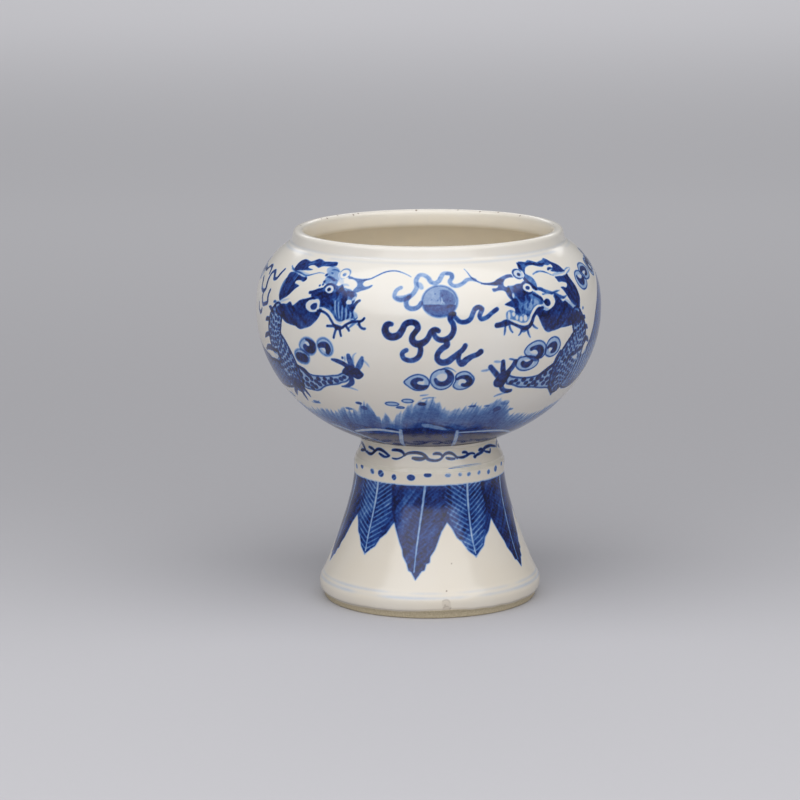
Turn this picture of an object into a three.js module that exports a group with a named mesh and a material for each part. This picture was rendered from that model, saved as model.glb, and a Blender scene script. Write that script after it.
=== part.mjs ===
// A blue-and-white porcelain alms bowl on a hollow splayed stem foot.
// It is potted in three thrown sections, the bowl, a waisted neck ring and the stem foot.
// Each section drops a turned tenon into the one below, a thin ring of slip lutes the two
// faces together, and the whole is then glazed and fired as one.
// Millimetres, +Z up, origin at the centre of the foot's resting face.
import * as THREE from "three";

// The bowl
const bellyRadius = 64.5; // outside, at the widest point
const rimHeight = 140; // top of the lip above the table
const bellyDrop = 30; // from the top of the lip down to the widest point
const bowlWall = 3.6; // thrown wall at the shoulder
const floorThickness = 6; // under the middle of the well
const wellRadius = 18; // flat middle of the well, where something put in the bowl stands
const lowerFullness = 2.15; // exponent that fills out the wall under the belly
const shoulderFullness = 2.5; // exponent that squares the shoulder
const lipRise = 4.6; // how far the lip stands over the shoulder
const lipOuterRadius = 50.4;
const lipThickness = 3.8;
const lipLandWidth = 0.8; // flat top of the lip, which a cover rests on
const lipSplay = 0.7; // how much wider the lip is where it leaves the shoulder

// The neck ring
const neckHeight = 7.6; // between its two luting faces
const neckSetIn = 0.4; // from the band under it to the neck's foot
const neckWaist = 2.7; // from its foot in to its top
const neckWall = 5.1; // at its top
const neckFlare = 1.5; // exponent of its concave outline

// The stem foot
const stemHeight = 52.8; // table to its luting face
const bandRadius = 28.5; // straight dotted band under the luting face
const bandHeight = 6.2;
const ridgeChamfer = 0.5; // broken edge of the ridge at the top of the band
const stemFlare = 1.35; // exponent of its concave flare
const flangeRadius = 41.8; // widest point of the foot
const flangeHeight = 6.2;
const glazeEdgeRadius = 41.1; // where the glaze stops and the bare rim begins
const glazeEdgeHeight = 2.9;
const restOuterRadius = 39.9; // flat bare face that stands on the table
const restInnerRadius = 35.4;
const stemWall = 5.5; // wall at the band
const underBevel = 1.2; // height of the pared bevel inside the foot

// The luted joints
const slipThickness = 0.6;
const slipSetback = 0.4; // how far a slip ring stops short of the bore it surrounds
const tenonDepth = 2.2; // turned tenon that drops into the section below
const tenonWall = 2.4; // of the bowl's tenon
const tenonClearance = 0.3;

// Facets
const roundSteps = 48;
const wallSteps = 14;
const shoulderSteps = 9;
const lipSteps = 4;
const flareSteps = 8;
const flangeSteps = 4;

// Heights and radii that follow from the sizes above
const bellyHeight = rimHeight - bellyDrop;
const lipBase = rimHeight - lipRise;
const lipFootRadius = lipOuterRadius + lipSplay;
const neckBase = stemHeight + slipThickness;
const neckTop = neckBase + neckHeight;
const bowlSeat = neckTop + slipThickness; // underside of the bowl
const wellHeight = bowlSeat + floorThickness;
const stemBore = bandRadius - stemWall;
const neckFootRadius = bandRadius - neckSetIn;
const neckTopRadius = neckFootRadius - neckWaist;
const neckBore = neckTopRadius - neckWall;
const bowlTenonRadius = neckBore - tenonClearance;

// Height over the belly at which the outer shoulder curve would close on the axis
const shoulderReach = (lipBase - bellyHeight) / closingShare(lipFootRadius, bellyRadius);

const glazedBowl = new THREE.MeshStandardMaterial({ color: 0xe8e4dc, roughness: 0.12, metalness: 0 });
const glazedNeck = new THREE.MeshStandardMaterial({ color: 0xd9d4c4, roughness: 0.15, metalness: 0 });
const glazedStem = new THREE.MeshStandardMaterial({ color: 0xded8cc, roughness: 0.15, metalness: 0 });
const firedSlip = new THREE.MeshStandardMaterial({ color: 0xb7ad99, roughness: 0.6, metalness: 0 });

const point = (radius, height) => new THREE.Vector2(radius, height);

// Points of a curve between two values of its parameter, both ends included.
function sample(curve, from, to, steps) {
  return Array.from({ length: steps + 1 }, (_, i) => curve(from + ((to - from) * i) / steps));
}

// A named solid of revolution. Its outline runs anticlockwise in (radius, height).
function turned(name, outline, material) {
  const mesh = new THREE.Mesh(new THREE.LatheGeometry(outline, roundSteps), material);
  mesh.name = name;
  mesh.rotation.x = Math.PI / 2; // the lathe turns about +Y, and the object stands on +Z
  return mesh;
}

// An outline that doesn't reach the axis is closed on itself.
function turnedRing(name, outline, material) {
  return turned(name, [...outline, outline[0].clone()], material);
}

// The wall from a foot point up to the belly, as a filled-out quarter ellipse.
function lowerWall(radius, footRadius, footHeight, steps) {
  const footShare = Math.sqrt(1 - (footRadius / radius) ** lowerFullness);
  const depth = (bellyHeight - footHeight) / footShare;
  const start = Math.acos(footShare);
  return sample(
    (turn) => point(radius * Math.sin(turn) ** (2 / lowerFullness), bellyHeight - depth * Math.cos(turn)),
    start,
    Math.PI / 2,
    steps,
  );
}

// How far up a shoulder curve its radius has fallen to the given one, as a share of its reach.
function closingShare(radius, widestRadius) {
  return (1 - (radius / widestRadius) ** shoulderFullness) ** (1 / shoulderFullness);
}

// The shoulder's radius at a height, for the outside or for a wall set in from it.
function shoulderRadius(height, inset) {
  const share = (height - bellyHeight) / (shoulderReach - inset);
  return (bellyRadius - inset) * (1 - share ** shoulderFullness) ** (1 / shoulderFullness);
}

function lipOutline() {
  const round = (lipThickness - lipLandWidth) / 2;
  const outerCentre = lipOuterRadius - round;
  const innerCentre = outerCentre - lipLandWidth;
  const quarter = (centre) => (turn) =>
    point(centre + round * Math.cos(turn), rimHeight - round + round * Math.sin(turn));
  return [
    ...sample(quarter(outerCentre), 0, Math.PI / 2, lipSteps),
    ...sample(quarter(innerCentre), Math.PI / 2, Math.PI, lipSteps),
  ];
}

function makeBowl() {
  const mouthRadius = lipOuterRadius - lipThickness;
  const outerShoulder = sample(
    (height) => point(shoulderRadius(height, 0), height),
    bellyHeight,
    lipBase,
    shoulderSteps,
  );
  // The inside of the shoulder is followed down from where it is as wide as the mouth.
  const underLip = bellyHeight + (shoulderReach - bowlWall) * closingShare(mouthRadius, bellyRadius - bowlWall);
  const innerShoulder = sample(
    (height) => point(shoulderRadius(height, bowlWall), height),
    underLip,
    bellyHeight,
    shoulderSteps,
  );
  const innerWall = lowerWall(bellyRadius - bowlWall, wellRadius, wellHeight, wallSteps).reverse();
  return turned(
    "bowl",
    [
      point(0, bowlSeat),
      point(bowlTenonRadius - tenonWall, bowlSeat),
      point(bowlTenonRadius - tenonWall, bowlSeat - tenonDepth),
      point(bowlTenonRadius, bowlSeat - tenonDepth),
      point(bowlTenonRadius, bowlSeat),
      ...lowerWall(bellyRadius, neckTopRadius, bowlSeat, wallSteps),
      ...outerShoulder.slice(1),
      ...lipOutline(),
      ...innerShoulder,
      ...innerWall.slice(1),
      point(0, wellHeight),
    ],
    glazedBowl,
  );
}

function makeNeckRing() {
  const tenonRadius = stemBore - tenonClearance;
  const outside = sample(
    (share) =>
      point(neckTopRadius + (neckFootRadius - neckTopRadius) * (1 - share) ** neckFlare, neckBase + neckHeight * share),
    0,
    1,
    flareSteps,
  );
  return turnedRing(
    "neck_ring",
    [
      point(neckBore, neckBase - tenonDepth),
      point(tenonRadius, neckBase - tenonDepth),
      point(tenonRadius, neckBase),
      ...outside,
      point(neckBore, neckTop),
    ],
    glazedNeck,
  );
}

function makeStemFoot() {
  const bandBase = stemHeight - bandHeight;
  const flare = sample(
    (share) =>
      point(
        bandRadius + (flangeRadius - bandRadius) * (1 - share) ** stemFlare,
        flangeHeight + (bandBase - flangeHeight) * share,
      ),
    0,
    1,
    flareSteps,
  );
  // The glaze rolls under the flange to the line where it was wiped off.
  const roll = sample(
    (turn) =>
      point(
        glazeEdgeRadius + (flangeRadius - glazeEdgeRadius) * Math.cos(turn),
        flangeHeight - (flangeHeight - glazeEdgeHeight) * Math.sin(turn),
      ),
    Math.PI / 2,
    0,
    flangeSteps,
  );
  return turnedRing(
    "stem_foot",
    [
      point(restInnerRadius, 0),
      point(restOuterRadius, 0),
      ...roll,
      ...flare.slice(1),
      point(bandRadius, stemHeight - ridgeChamfer),
      point(bandRadius - ridgeChamfer, stemHeight),
      point(stemBore, stemHeight),
      point(stemBore, bandBase),
      point(restInnerRadius - underBevel, underBevel),
    ],
    glazedStem,
  );
}

// A luting ring between two faces, flush with the outside of the section above it.
function makeSlipRing(name, bore, outerRadius, base) {
  const inner = bore + slipSetback;
  return turnedRing(
    name,
    [
      point(inner, base),
      point(outerRadius, base),
      point(outerRadius, base + slipThickness),
      point(inner, base + slipThickness),
    ],
    firedSlip,
  );
}

const almsBowl = new THREE.Group();
almsBowl.add(
  makeStemFoot(),
  makeSlipRing("lower_slip_ring", stemBore, Math.min(neckFootRadius, bandRadius - ridgeChamfer), stemHeight),
  makeNeckRing(),
  makeSlipRing("upper_slip_ring", neckBore, neckTopRadius, neckTop),
  makeBowl(),
);

export default almsBowl;
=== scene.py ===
"""A blue-and-white porcelain alms bowl, built around its turned solids.

Each piece is turned from the outline of the solid that it stands for. Its wall is then painted the
way a porcelain painter does it: outlines and washes of cobalt are laid with a brush on the raw
clay, in millimetres on the unrolled wall, and the clear glaze goes over them.
"""

import math

import bpy
import numpy as np
from bpy.props import FloatProperty, FloatVectorProperty, PointerProperty
from bpy.types import Operator, Panel, PropertyGroup
from mathutils import Euler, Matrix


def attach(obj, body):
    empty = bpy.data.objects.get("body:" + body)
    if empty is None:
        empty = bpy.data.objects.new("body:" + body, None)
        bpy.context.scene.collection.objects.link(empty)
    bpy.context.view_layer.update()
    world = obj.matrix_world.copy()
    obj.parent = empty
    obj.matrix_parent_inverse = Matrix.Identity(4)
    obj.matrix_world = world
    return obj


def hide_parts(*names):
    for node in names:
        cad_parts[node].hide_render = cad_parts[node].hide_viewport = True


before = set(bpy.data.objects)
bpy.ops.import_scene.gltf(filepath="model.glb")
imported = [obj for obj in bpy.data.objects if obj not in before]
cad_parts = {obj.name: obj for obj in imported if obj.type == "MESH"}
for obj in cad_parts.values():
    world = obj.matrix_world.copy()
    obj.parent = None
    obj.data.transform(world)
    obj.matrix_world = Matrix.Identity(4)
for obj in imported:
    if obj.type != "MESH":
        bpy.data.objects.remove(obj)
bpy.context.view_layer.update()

bl_info = {
    "name": "Alms Bowl",
    "version": (1, 0, 0),
    "blender": (4, 5, 0),
    "location": "3D View > Sidebar > Alms Bowl",
    "description": "Builds a blue-and-white porcelain alms bowl on a stem foot",
    "category": "Add Mesh",
}

MM = 0.001
LATTICE = np.random.default_rng(7).random((128, 128))

CORNER = math.radians(32)  # an outline that turns more than this has a corner there
STRAIGHT = 15  # mm, a side of an outline longer than this stays straight
FINE = 0.1  # mm between the points of an outline before it is cut into rows
STEP = 0.4  # mm between the points of a brush stroke
SWELL, TAPER = 0.25, 0.4  # the shares of a stroke over which it widens at first and narrows at last
BLOTCH = 1.3  # mm across, the uneven spots in a stroke
MARGIN = 3.0  # mm round a closed outline within which the distance to it is found
FAR = 99.0  # mm, stands for a cell that no stroke comes near
ON_AXIS = 0.05  # mm, a row with a smaller radius than this is a point on the axis
SAME = 0.001  # mm, points closer to each other than this are one
TINY = 1e-9  # added to a length that something is divided by, in case it is 0
LEAST_SQUEEZE = 0.3  # a wall narrower than this share of its reference radius counts as this wide

BOWL_COLUMNS, STEM_COLUMNS, NECK_COLUMNS, SLIP_COLUMNS = 1344, 1024, 768, 512
STEM_GRID = 0.85  # the brush grid of the stem and the neck, as a share of the bowl's
STEM_BAND_RADIUS = 28.5  # mm, the radius that the neck's painting is measured at
GLAZE_EDGE = 2.9  # mm above the table, where the glaze was wiped off the foot
FOOT_HOLLOW = 33.5  # mm, a smaller radius than this lies inside the hollow foot
BEAD_DEPTH = 1.2  # mm from the outside of a luted joint in to where its bead of slip begins

# The bowl's painting is measured in mm along the wall from the widest line of the bowl
SEAT = -68  # just under where the bowl meets its neck
SEA_FOOT, SEA_TOP = -67.5, -20  # the sea is painted between them
LIP_REACH = 6  # how far over the lip the fine grid goes on down the inside
BOWL_LEAN = 0.75  # mm, how far out of level the bowl was painted
LEAN_DROP, LEAN_SHIFT, LEAN_SLANT = 0.45, 0.55, 0.04  # down, right, and more right with height
LEVEL_ABOVE = 32  # marks higher than this are level

GLASS = 1.52  # refractive index of the glaze
GLAZE_ROUGHNESS, SLIP_ROUGHNESS, CLAY_ROUGHNESS = 0.17, 0.12, 0.8

PANEL_GLOW = 1.87  # radiance of the panel, where 1 is white
BACK_GLOW = 1.75  # radiance of the panel behind
ROOM_GLOW = 0.2  # radiance of the room
LENS, SENSOR = 157.5, 36  # mm
CAMERA_PLACE = (0, -1.291, 0.3282)  # metres
CAMERA_TURN, CAMERA_TILT, CAMERA_ROLL = 0.483, 11.12, -0.377  # degrees left, down and clockwise


# Colours and sizes

def linear(code):
    """An sRGB hex colour as linear red, green and blue with full alpha."""
    channels = [int(code[i:i + 2], 16) / 255 for i in (1, 3, 5)]
    return [c / 12.92 if c <= 0.04045 else ((c + 0.055) / 1.055) ** 2.4 for c in channels] + [1.0]


def colour(name, description, code):
    """A colour that the user can change, given as sRGB hex."""
    return FloatVectorProperty(
        name=name, description=description, subtype="COLOR", size=4, min=0, max=1, default=linear(code)
    )


def millimetres(name, description, default, least, most):
    """A length that the user can change, shown in millimetres and held in metres."""
    return FloatProperty(
        name=name, description=description, default=default * MM, min=least * MM, max=most * MM,
        precision=5, unit="LENGTH",
    )


class AlmsBowlSizes(PropertyGroup):
    """Sizes of the clay, the glaze and the brushwork."""

    glaze_rounding: millimetres("Glaze rounding", "How far the glaze rounds a turned edge", 0.4, 0.1, 1.0)
    wobble: millimetres("Wobble", "How far the thrown walls run out of round", 0.16, 0.0, 0.5)
    brush_grid: millimetres(
        "Brush grid", "Distance between the points that hold the painting", 0.3, 0.1, 1.0
    )
    plain_grid: millimetres("Plain grid", "Distance between the rows of an unpainted wall", 0.9, 0.3, 3.0)
    bleed: millimetres("Bleed", "Soft edge that cobalt gets as it sinks into the glaze", 0.45, 0.1, 1.0)
    bead: millimetres("Slip bead", "Height of the bead of slip over each luted joint", 1.6, 0.8, 3.0)
    floor_reach: FloatProperty(
        name="Floor reach", description="How far the paper runs from the bowl", default=4.5, min=3.0,
        unit="LENGTH",
    )


class AlmsBowlColours(PropertyGroup):
    """Colours of the glaze, the cobalt, the bare clay and the paper."""

    glaze: colour("Glaze", "Clear glaze over the white clay of the bowl", "#D9D5CE")
    glaze_stem: colour(
        "Glaze on the stem", "The same glaze on the stem and the neck, a little warmer", "#DBD4C8"
    )
    # Painted light and shade: a warmer, lighter copy of the glaze, painted down the inside of the bowl in
    # place of the warm shade and bounced light in its hollow
    glaze_inside_lit: colour("Glaze inside", "Thin, stained glaze down in the bowl", "#E6DDCC")
    cobalt_pale: colour("Pale cobalt", "The thinnest wash", "#9BB1CF")
    cobalt_wash: colour("Cobalt wash", "A wash of one brushful", "#4A74AE")
    cobalt_full: colour("Full cobalt", "An outline from a loaded brush", "#1B4086")
    cobalt_deep: colour("Deep cobalt", "A second stroke over the first", "#102463")
    cobalt_heaped: colour("Heaped cobalt", "Where strokes lie over each other", "#0A1138")
    clay: colour("Bare clay", "Fired clay of the foot rim where the glaze was wiped off", "#C9BCA0")
    # This colour also greys the pearl's upper half, as a painted reflection
    iron_and_sheen: colour("Iron speck", "Iron grains that burst through the glaze", "#5A3A26")
    # Painted light: the paper is one grey, painted darkest just behind the bowl and lighter in front and far
    # behind, in place of how the light falls on it
    paper: colour("Paper", "Graded paper where it is darkest, just behind the bowl", "#AEADB1")
    paper_far_lit: colour("Light paper", "The same paper where it is lightest, far behind", "#CECDD1")


# Outlines

def outline_of(node):
    """The outline that a turned solid was cut to, as (radius, height) rows in mm, in order.

    It is read along the solid's edge at +X. It runs up the outside, and where it doesn't
    start on the axis it ends where it starts."""
    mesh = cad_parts[node].data
    points = np.array([vertex.co[:] for vertex in mesh.vertices]) / MM
    keys = [tuple(np.round(p, 3)) for p in points]
    links = {}
    for edge in mesh.edges:
        a, b = (keys[i] for i in edge.vertices)
        if a != b and all(abs(p[1]) < SAME and p[0] > -SAME for p in (a, b)):
            links.setdefault((a[0], a[2]), set()).add((b[0], b[2]))
            links.setdefault((b[0], b[2]), set()).add((a[0], a[2]))
    ends = [p for p in links if p[0] < SAME]
    start = min(ends or links, key=lambda p: (p[1], p[0]))
    path = [start, max(links[start], key=lambda p: p[0])]
    while len(path) < len(links) + 1 and path[-1] != start:
        onward = links[path[-1]] - {path[-2]}
        if not onward:
            break
        path.append(min(onward, key=lambda p: abs(p[1] - path[-1][1]) + abs(p[0] - path[-1][0])))
    return np.array(path)


def arc_lengths(path):
    """How far along a path each of its points lies."""
    return np.concatenate([[0], np.cumsum(np.hypot(*np.diff(path[:, :2], axis=0).T))])


def evenly(line):
    """A line as points FINE apart."""
    arc = arc_lengths(line)
    even = np.linspace(0, arc[-1], round(arc[-1] / FINE) + 1)
    return np.column_stack([np.interp(even, arc, line[:, k]) for k in (0, 1)])


def curve_through(points, spacing, closed=False):
    """A smooth curve through points, as points `spacing` apart. A third column is carried along."""
    points = np.asarray(points, float)
    count = len(points)
    if closed:
        points = np.vstack([points[-2:], points, points[:3]])
    elif count == 2:
        steps = max(1, round(np.hypot(*(points[1] - points[0])[:2]) / spacing))
        return points[0] + (points[1] - points[0]) * np.linspace(0, 1, steps + 1)[:, None]
    knots = arc_lengths(points)
    slopes = np.gradient(points, knots, axis=0, edge_order=2)
    curve = []
    for i in range(2, count + 2) if closed else range(count - 1):
        gap = knots[i + 1] - knots[i]
        t = np.linspace(0, 1, max(1, round(gap / spacing)) + 1)[:-1, None]
        curve.append(
            (2 * t**3 - 3 * t**2 + 1) * points[i] + (t**3 - 2 * t**2 + t) * gap * slopes[i]
            + (3 * t**2 - 2 * t**3) * points[i + 1] + (t**3 - t**2) * gap * slopes[i + 1]
        )
    return np.vstack(curve + [curve[0][:1] if closed else points[-1:]])


def glazed_outline(path, rounding):
    """A turned outline made smooth between its corners, with the corners rounded by glaze."""
    closed = np.allclose(path[0], path[-1])
    sides = np.diff(path, axis=0)
    directions = np.arctan2(sides[:, 1], sides[:, 0])
    turns = np.abs((np.diff(directions) + math.pi) % (2 * math.pi) - math.pi)
    longer = np.maximum(np.hypot(*sides[:-1].T), np.hypot(*sides[1:].T))
    sharp = (turns > CORNER) | ((turns > CORNER / 4) & (longer > STRAIGHT))
    corners = [0, *(np.flatnonzero(sharp) + 1), len(path) - 1]
    spans = [curve_through(path[a:b + 1], FINE)[:-1] for a, b in zip(corners, corners[1:])]
    line = evenly(np.vstack(spans + [path[-1:]]))
    reach = round(3 * rounding / FINE)
    kernel = np.exp(-0.5 * (np.arange(-reach, reach + 1) * FINE / rounding) ** 2)
    kernel /= kernel.sum()
    if closed:
        padded = np.vstack([line[-reach - 1:-1], line, line[1:reach + 1]])
    else:
        padded = np.vstack([2 * line[0] - line[reach:0:-1], line, 2 * line[-1] - line[-2:-reach - 2:-1]])
    return np.column_stack([np.convolve(padded[:, k], kernel, "valid") for k in (0, 1)])


# Brush

class Wall:
    """The surface of a turned piece, unrolled so that it can be painted.

    x runs round the wall in mm at the radius `reference`, from the middle of the front to the
    right. y runs up the wall in mm along its outline, from the place `zero`. Each layer holds
    how much of one thing lies at each point of the grid, from 0 to 1."""

    def __init__(self, outline, columns, reference, zero, spacing, bleed, layers, lean=0.0):
        self.lean = lean
        arc = arc_lengths(outline)
        count = np.concatenate([[0], np.cumsum(np.diff(arc) / ((spacing[1:] + spacing[:-1]) / 2))])
        rows = np.interp(np.linspace(0, count[-1], round(count[-1]) + 1), count, arc)
        self.radius = np.interp(rows, arc, outline[:, 0])
        self.height = np.interp(rows, arc, outline[:, 1])
        self.columns = columns
        self.y = rows - zero
        self.half = math.pi * reference
        self.x = np.linspace(-self.half, self.half, columns, endpoint=False)
        self.angle = self.x / self.half * math.pi
        self.squeeze = np.maximum(self.radius, 1) / reference
        self.bleed = bleed
        self.layers = {name: np.zeros((len(rows), columns), np.float32) for name in layers}

    def placed(self, points):
        """Points as the painter laid them, who held the pot a little out of level. They sit lower
        at the right and higher at the left, and lean to the right."""
        points = np.array(points, float)
        if self.lean and points[:, 1].max() < LEVEL_ABOVE:
            points[:, 1] -= self.lean * (LEAN_DROP + np.sin(points[:, 0] / self.half * math.pi))
            points[:, 0] += self.lean * (LEAN_SHIFT + LEAN_SLANT * points[:, 1])
        return points

    def window(self, low, high):
        """Row numbers, column numbers, x and y of the part of the wall that a box covers."""
        rows = np.flatnonzero((self.y >= low[1]) & (self.y <= high[1]))
        pitch = 2 * self.half / self.columns
        columns = np.arange(math.floor((low[0] + self.half) / pitch),
                            math.ceil((high[0] + self.half) / pitch) + 1)
        return rows, columns % self.columns, columns * pitch - self.half, self.y[rows]

    def lay(self, cells, ink, layer="cobalt"):
        """Adds ink to some cells, darker where some lies already. Less than none lifts it off."""
        before = self.layers[layer][cells]
        self.layers[layer][cells] = np.where(ink < 0, before * (1 + ink), 1 - (1 - before) * (1 - ink))


def soft(distance, bleed):
    """How much of the ink a cell gets at a distance from the edge of a stroke."""
    t = np.clip(0.5 - distance / bleed, 0, 1)
    return t * t * (3 - 2 * t)


def smooth_noise(x, y):
    """Noise from 0 to 1 whose lumps are one unit across."""
    i, j = np.floor(x).astype(int), np.floor(y).astype(int)
    u, v = x - i, y - j
    u, v = u * u * (3 - 2 * u), v * v * (3 - 2 * v)
    size = len(LATTICE)
    i, j, ii, jj = i % size, j % size, (i + 1) % size, (j + 1) % size
    low = LATTICE[i, j] * (1 - u) + LATTICE[ii, j] * u
    high = LATTICE[i, jj] * (1 - u) + LATTICE[ii, jj] * u
    return low * (1 - v) + high * v


def hairs(x, y, lean=0.0):
    """Streaks that the hairs of a brush leave, around 1. `lean` is their angle from upright."""
    across = (x * math.cos(lean) - y * math.sin(lean)) / 0.7
    along = (y * math.cos(lean) + x * math.sin(lean)) / 6
    return 0.72 + 0.34 * smooth_noise(across, along) + 0.24 * smooth_noise(across * 0.3 + 40, along * 0.8)


def round_noise(wall, x, y, finer, tall):
    """Noise that meets itself at the back of the wall. Its lumps are 1/128 of the way round
    over `finer` wide, and `tall` mm high."""
    return smooth_noise((x / wall.half + 1) * len(LATTICE) / 2 * finer, y / tall)


class Reach:
    """The cells near a path, each with where it lies beside the path."""

    def __init__(self, wall, path, widths, margin):
        reach = widths.max() / 2 + margin
        squeeze = max(LEAST_SQUEEZE, np.interp(path[:, 1], wall.y, wall.squeeze).min())
        spread = np.array([reach / squeeze, reach])
        rows, columns, self.x, y = wall.window(path.min(0) - spread, path.max(0) + spread)
        self.cells = np.ix_(rows, columns)
        self.y = y[:, None]
        self.distance = np.full((len(rows), len(columns)), FAR)
        self.along = np.zeros_like(self.distance)
        self.across = np.zeros_like(self.distance)
        squeezes = wall.squeeze[rows][:, None]
        arc = arc_lengths(path)
        for i in range(len(path) - 1):
            a, b = path[i], path[i + 1]
            near = max(widths[i], widths[i + 1]) / 2 + margin
            r0, r1 = np.searchsorted(y, [min(a[1], b[1]) - near, max(a[1], b[1]) + near])
            sides = [min(a[0], b[0]) - near / squeeze, max(a[0], b[0]) + near / squeeze]
            c0, c1 = np.searchsorted(self.x, sides)
            if r0 == r1 or c0 == c1:
                continue
            px = (self.x[None, c0:c1] - a[0]) * squeezes[r0:r1]
            py = y[r0:r1, None] - a[1]
            dx = (b[0] - a[0]) * squeezes[r0:r1]
            dy = b[1] - a[1]
            long = np.sqrt(dx * dx + dy * dy) + TINY
            t = np.clip((px * dx + py * dy) / long**2, 0, 1)
            off = np.hypot(px - t * dx, py - t * dy) - (widths[i] + (widths[i + 1] - widths[i]) * t) / 2
            spot = (slice(r0, r1), slice(c0, c1))
            closer = off < self.distance[spot]
            self.distance[spot] = np.where(closer, off, self.distance[spot])
            self.along[spot] = np.where(closer, arc[i] + t * (arc[i + 1] - arc[i]), self.along[spot])
            self.across[spot] = np.where(closer, (px * dy - py * dx) / long, self.across[spot])


def inside(wall, path):
    """The cells around a closed path, each with its distance to it, negative inside."""
    found = Reach(wall, path, np.zeros(len(path)), MARGIN)
    odd = np.zeros(found.distance.shape, bool)
    for a, b in zip(path, path[1:]):
        if a[1] != b[1]:
            crosses = (found.y >= min(a[1], b[1])) & (found.y < max(a[1], b[1]))
            odd ^= crosses & (found.x[None] < a[0] + (found.y - a[1]) * (b[0] - a[0]) / (b[1] - a[1]))
    found.distance = np.where(odd, -np.abs(found.distance), found.distance)
    return found


def stroke(wall, points, width=0.5, ink=0.85, tip=0.35, tail=0.7, layer="cobalt"):
    """One brush stroke through some points, `width` wide. It starts at `tail` of that width and
    ends at `tip` of it. Points that hold a third number give the width there instead."""
    path = curve_through(wall.placed(points), STEP)
    if path.shape[1] == 3:
        widths = path[:, 2]
    else:
        t = np.linspace(0, 1, len(path))
        swell = np.minimum(1, tail + (1 - tail) * t / SWELL)
        widths = width * swell * np.minimum(1, tip + (1 - tip) * (1 - t) / TAPER)
    found = Reach(wall, path[:, :2], widths, wall.bleed)
    load = 1
    if layer == "cobalt":
        load = 0.86 + 0.28 * smooth_noise(found.x[None] / BLOTCH, found.y / BLOTCH)
    wall.lay(found.cells, soft(found.distance, wall.bleed) * np.minimum(ink * load, 1), layer)


def strokes(wall, width, ink, *paths, tip=0.35, tail=0.7):
    """Several strokes with one brush load."""
    for points in paths:
        stroke(wall, points, width, ink, tip, tail)


def wash(wall, points, ink=0.5, edge=None, line=0.5, lean=None, sharp=False, layer="cobalt"):
    """A patch filled with a wash inside a closed outline, with a drawn edge if asked. With
    `lean` the hairs of the brush show, and a sharp outline keeps its corners."""
    points = wall.placed(points)
    path = np.vstack([points, points[:1]]) if sharp else curve_through(points, STEP, closed=True)
    found = inside(wall, path)
    load = 1 if lean is None else hairs(found.x[None] * np.ones_like(found.y), found.y, lean)
    wall.lay(found.cells, soft(found.distance, wall.bleed) * np.minimum(ink * load, 1), layer)
    if edge:
        found = Reach(wall, path, np.full(len(path), line), wall.bleed)
        wall.lay(found.cells, soft(found.distance, wall.bleed) * edge)


def dab(wall, x, y, width, height=None, ink=0.8, layer="cobalt", edge=None, line=0.5):
    """A dab of the brush, an ellipse."""
    turn = np.linspace(0, 2 * math.pi, 13)[:-1]
    squeeze = max(LEAST_SQUEEZE, np.interp(y, wall.y, wall.squeeze))
    height = height or width
    points = np.column_stack([x + width / 2 * np.cos(turn) / squeeze, y + height / 2 * np.sin(turn)])
    wash(wall, points, ink, edge, line, layer=layer)


def ring(wall, y, width, ink, breaks=()):
    """A watery line run round the wall on the wheel, with gaps where the brush ran dry."""
    rows = np.flatnonzero(np.abs(wall.y - y) < width * 1.5)
    cover = soft(np.abs(wall.y[rows] - y) - width / 2, width * 1.6)[:, None]
    load = 0.72 + 0.2 * np.sin(3 * wall.angle + 7 * y) + 0.12 * np.sin(11 * wall.angle + y)
    for left, right in breaks:
        load = load * (1 - 0.85 * soft(np.abs(wall.x - (left + right) / 2) - (right - left) / 2, 5))
    wall.lay(np.ix_(rows, np.arange(wall.columns)), cover * load[None] * ink)


def moved(points, middle, side=1):
    """Points moved along the wall by `middle`, and mirrored first where `side` is -1."""
    return [(middle + side * p[0], *p[1:]) for p in points]


def away(point, distance, angle):
    """The point at a distance from another, at an angle."""
    return (point[0] + distance * math.cos(angle), point[1] + distance * math.sin(angle))


# Painting on the stem

def paint_leaf(wall, middle, points, midrib, veined):
    """One plantain leaf, point down, with its midrib and its veins left pale."""
    ink = 0.8 if veined else 0.9
    wash(wall, moved(points, middle), ink, edge=0.3, line=0.8, lean=0.6, sharp=True)
    heavier = [(0.5, 1), (0.2, points[len(points) // 2][1]), *((x, y) for x, y in points if x > 0)]
    wash(wall, moved(heavier, middle), 0.2, sharp=True)
    rib = curve_through(moved(midrib, middle), STEP)
    pitch, lift = (1.8, -0.42) if veined else (1.5, -0.09)
    for y in np.arange(3.5, -26, -pitch):
        x = float(np.interp(-y, -rib[:, 1], rib[:, 0]))
        span = (8.6 if veined else 9.5) * min(1, (30 + y) / 17)
        for side in (-1, 1):
            vein = [(x + side * u * span, y - 1.2 + (0.1 + 0.75 * u) * span) for u in (0.1, 0.5, 1)]
            stroke(wall, vein, 0.5, lift, tip=0.5, tail=0.9)
    tapered = [(x, y, 0.95 - 0.6 * i / len(midrib)) for i, (x, y) in enumerate(midrib)]
    stroke(wall, moved(tapered, middle), ink=-0.62)


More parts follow.
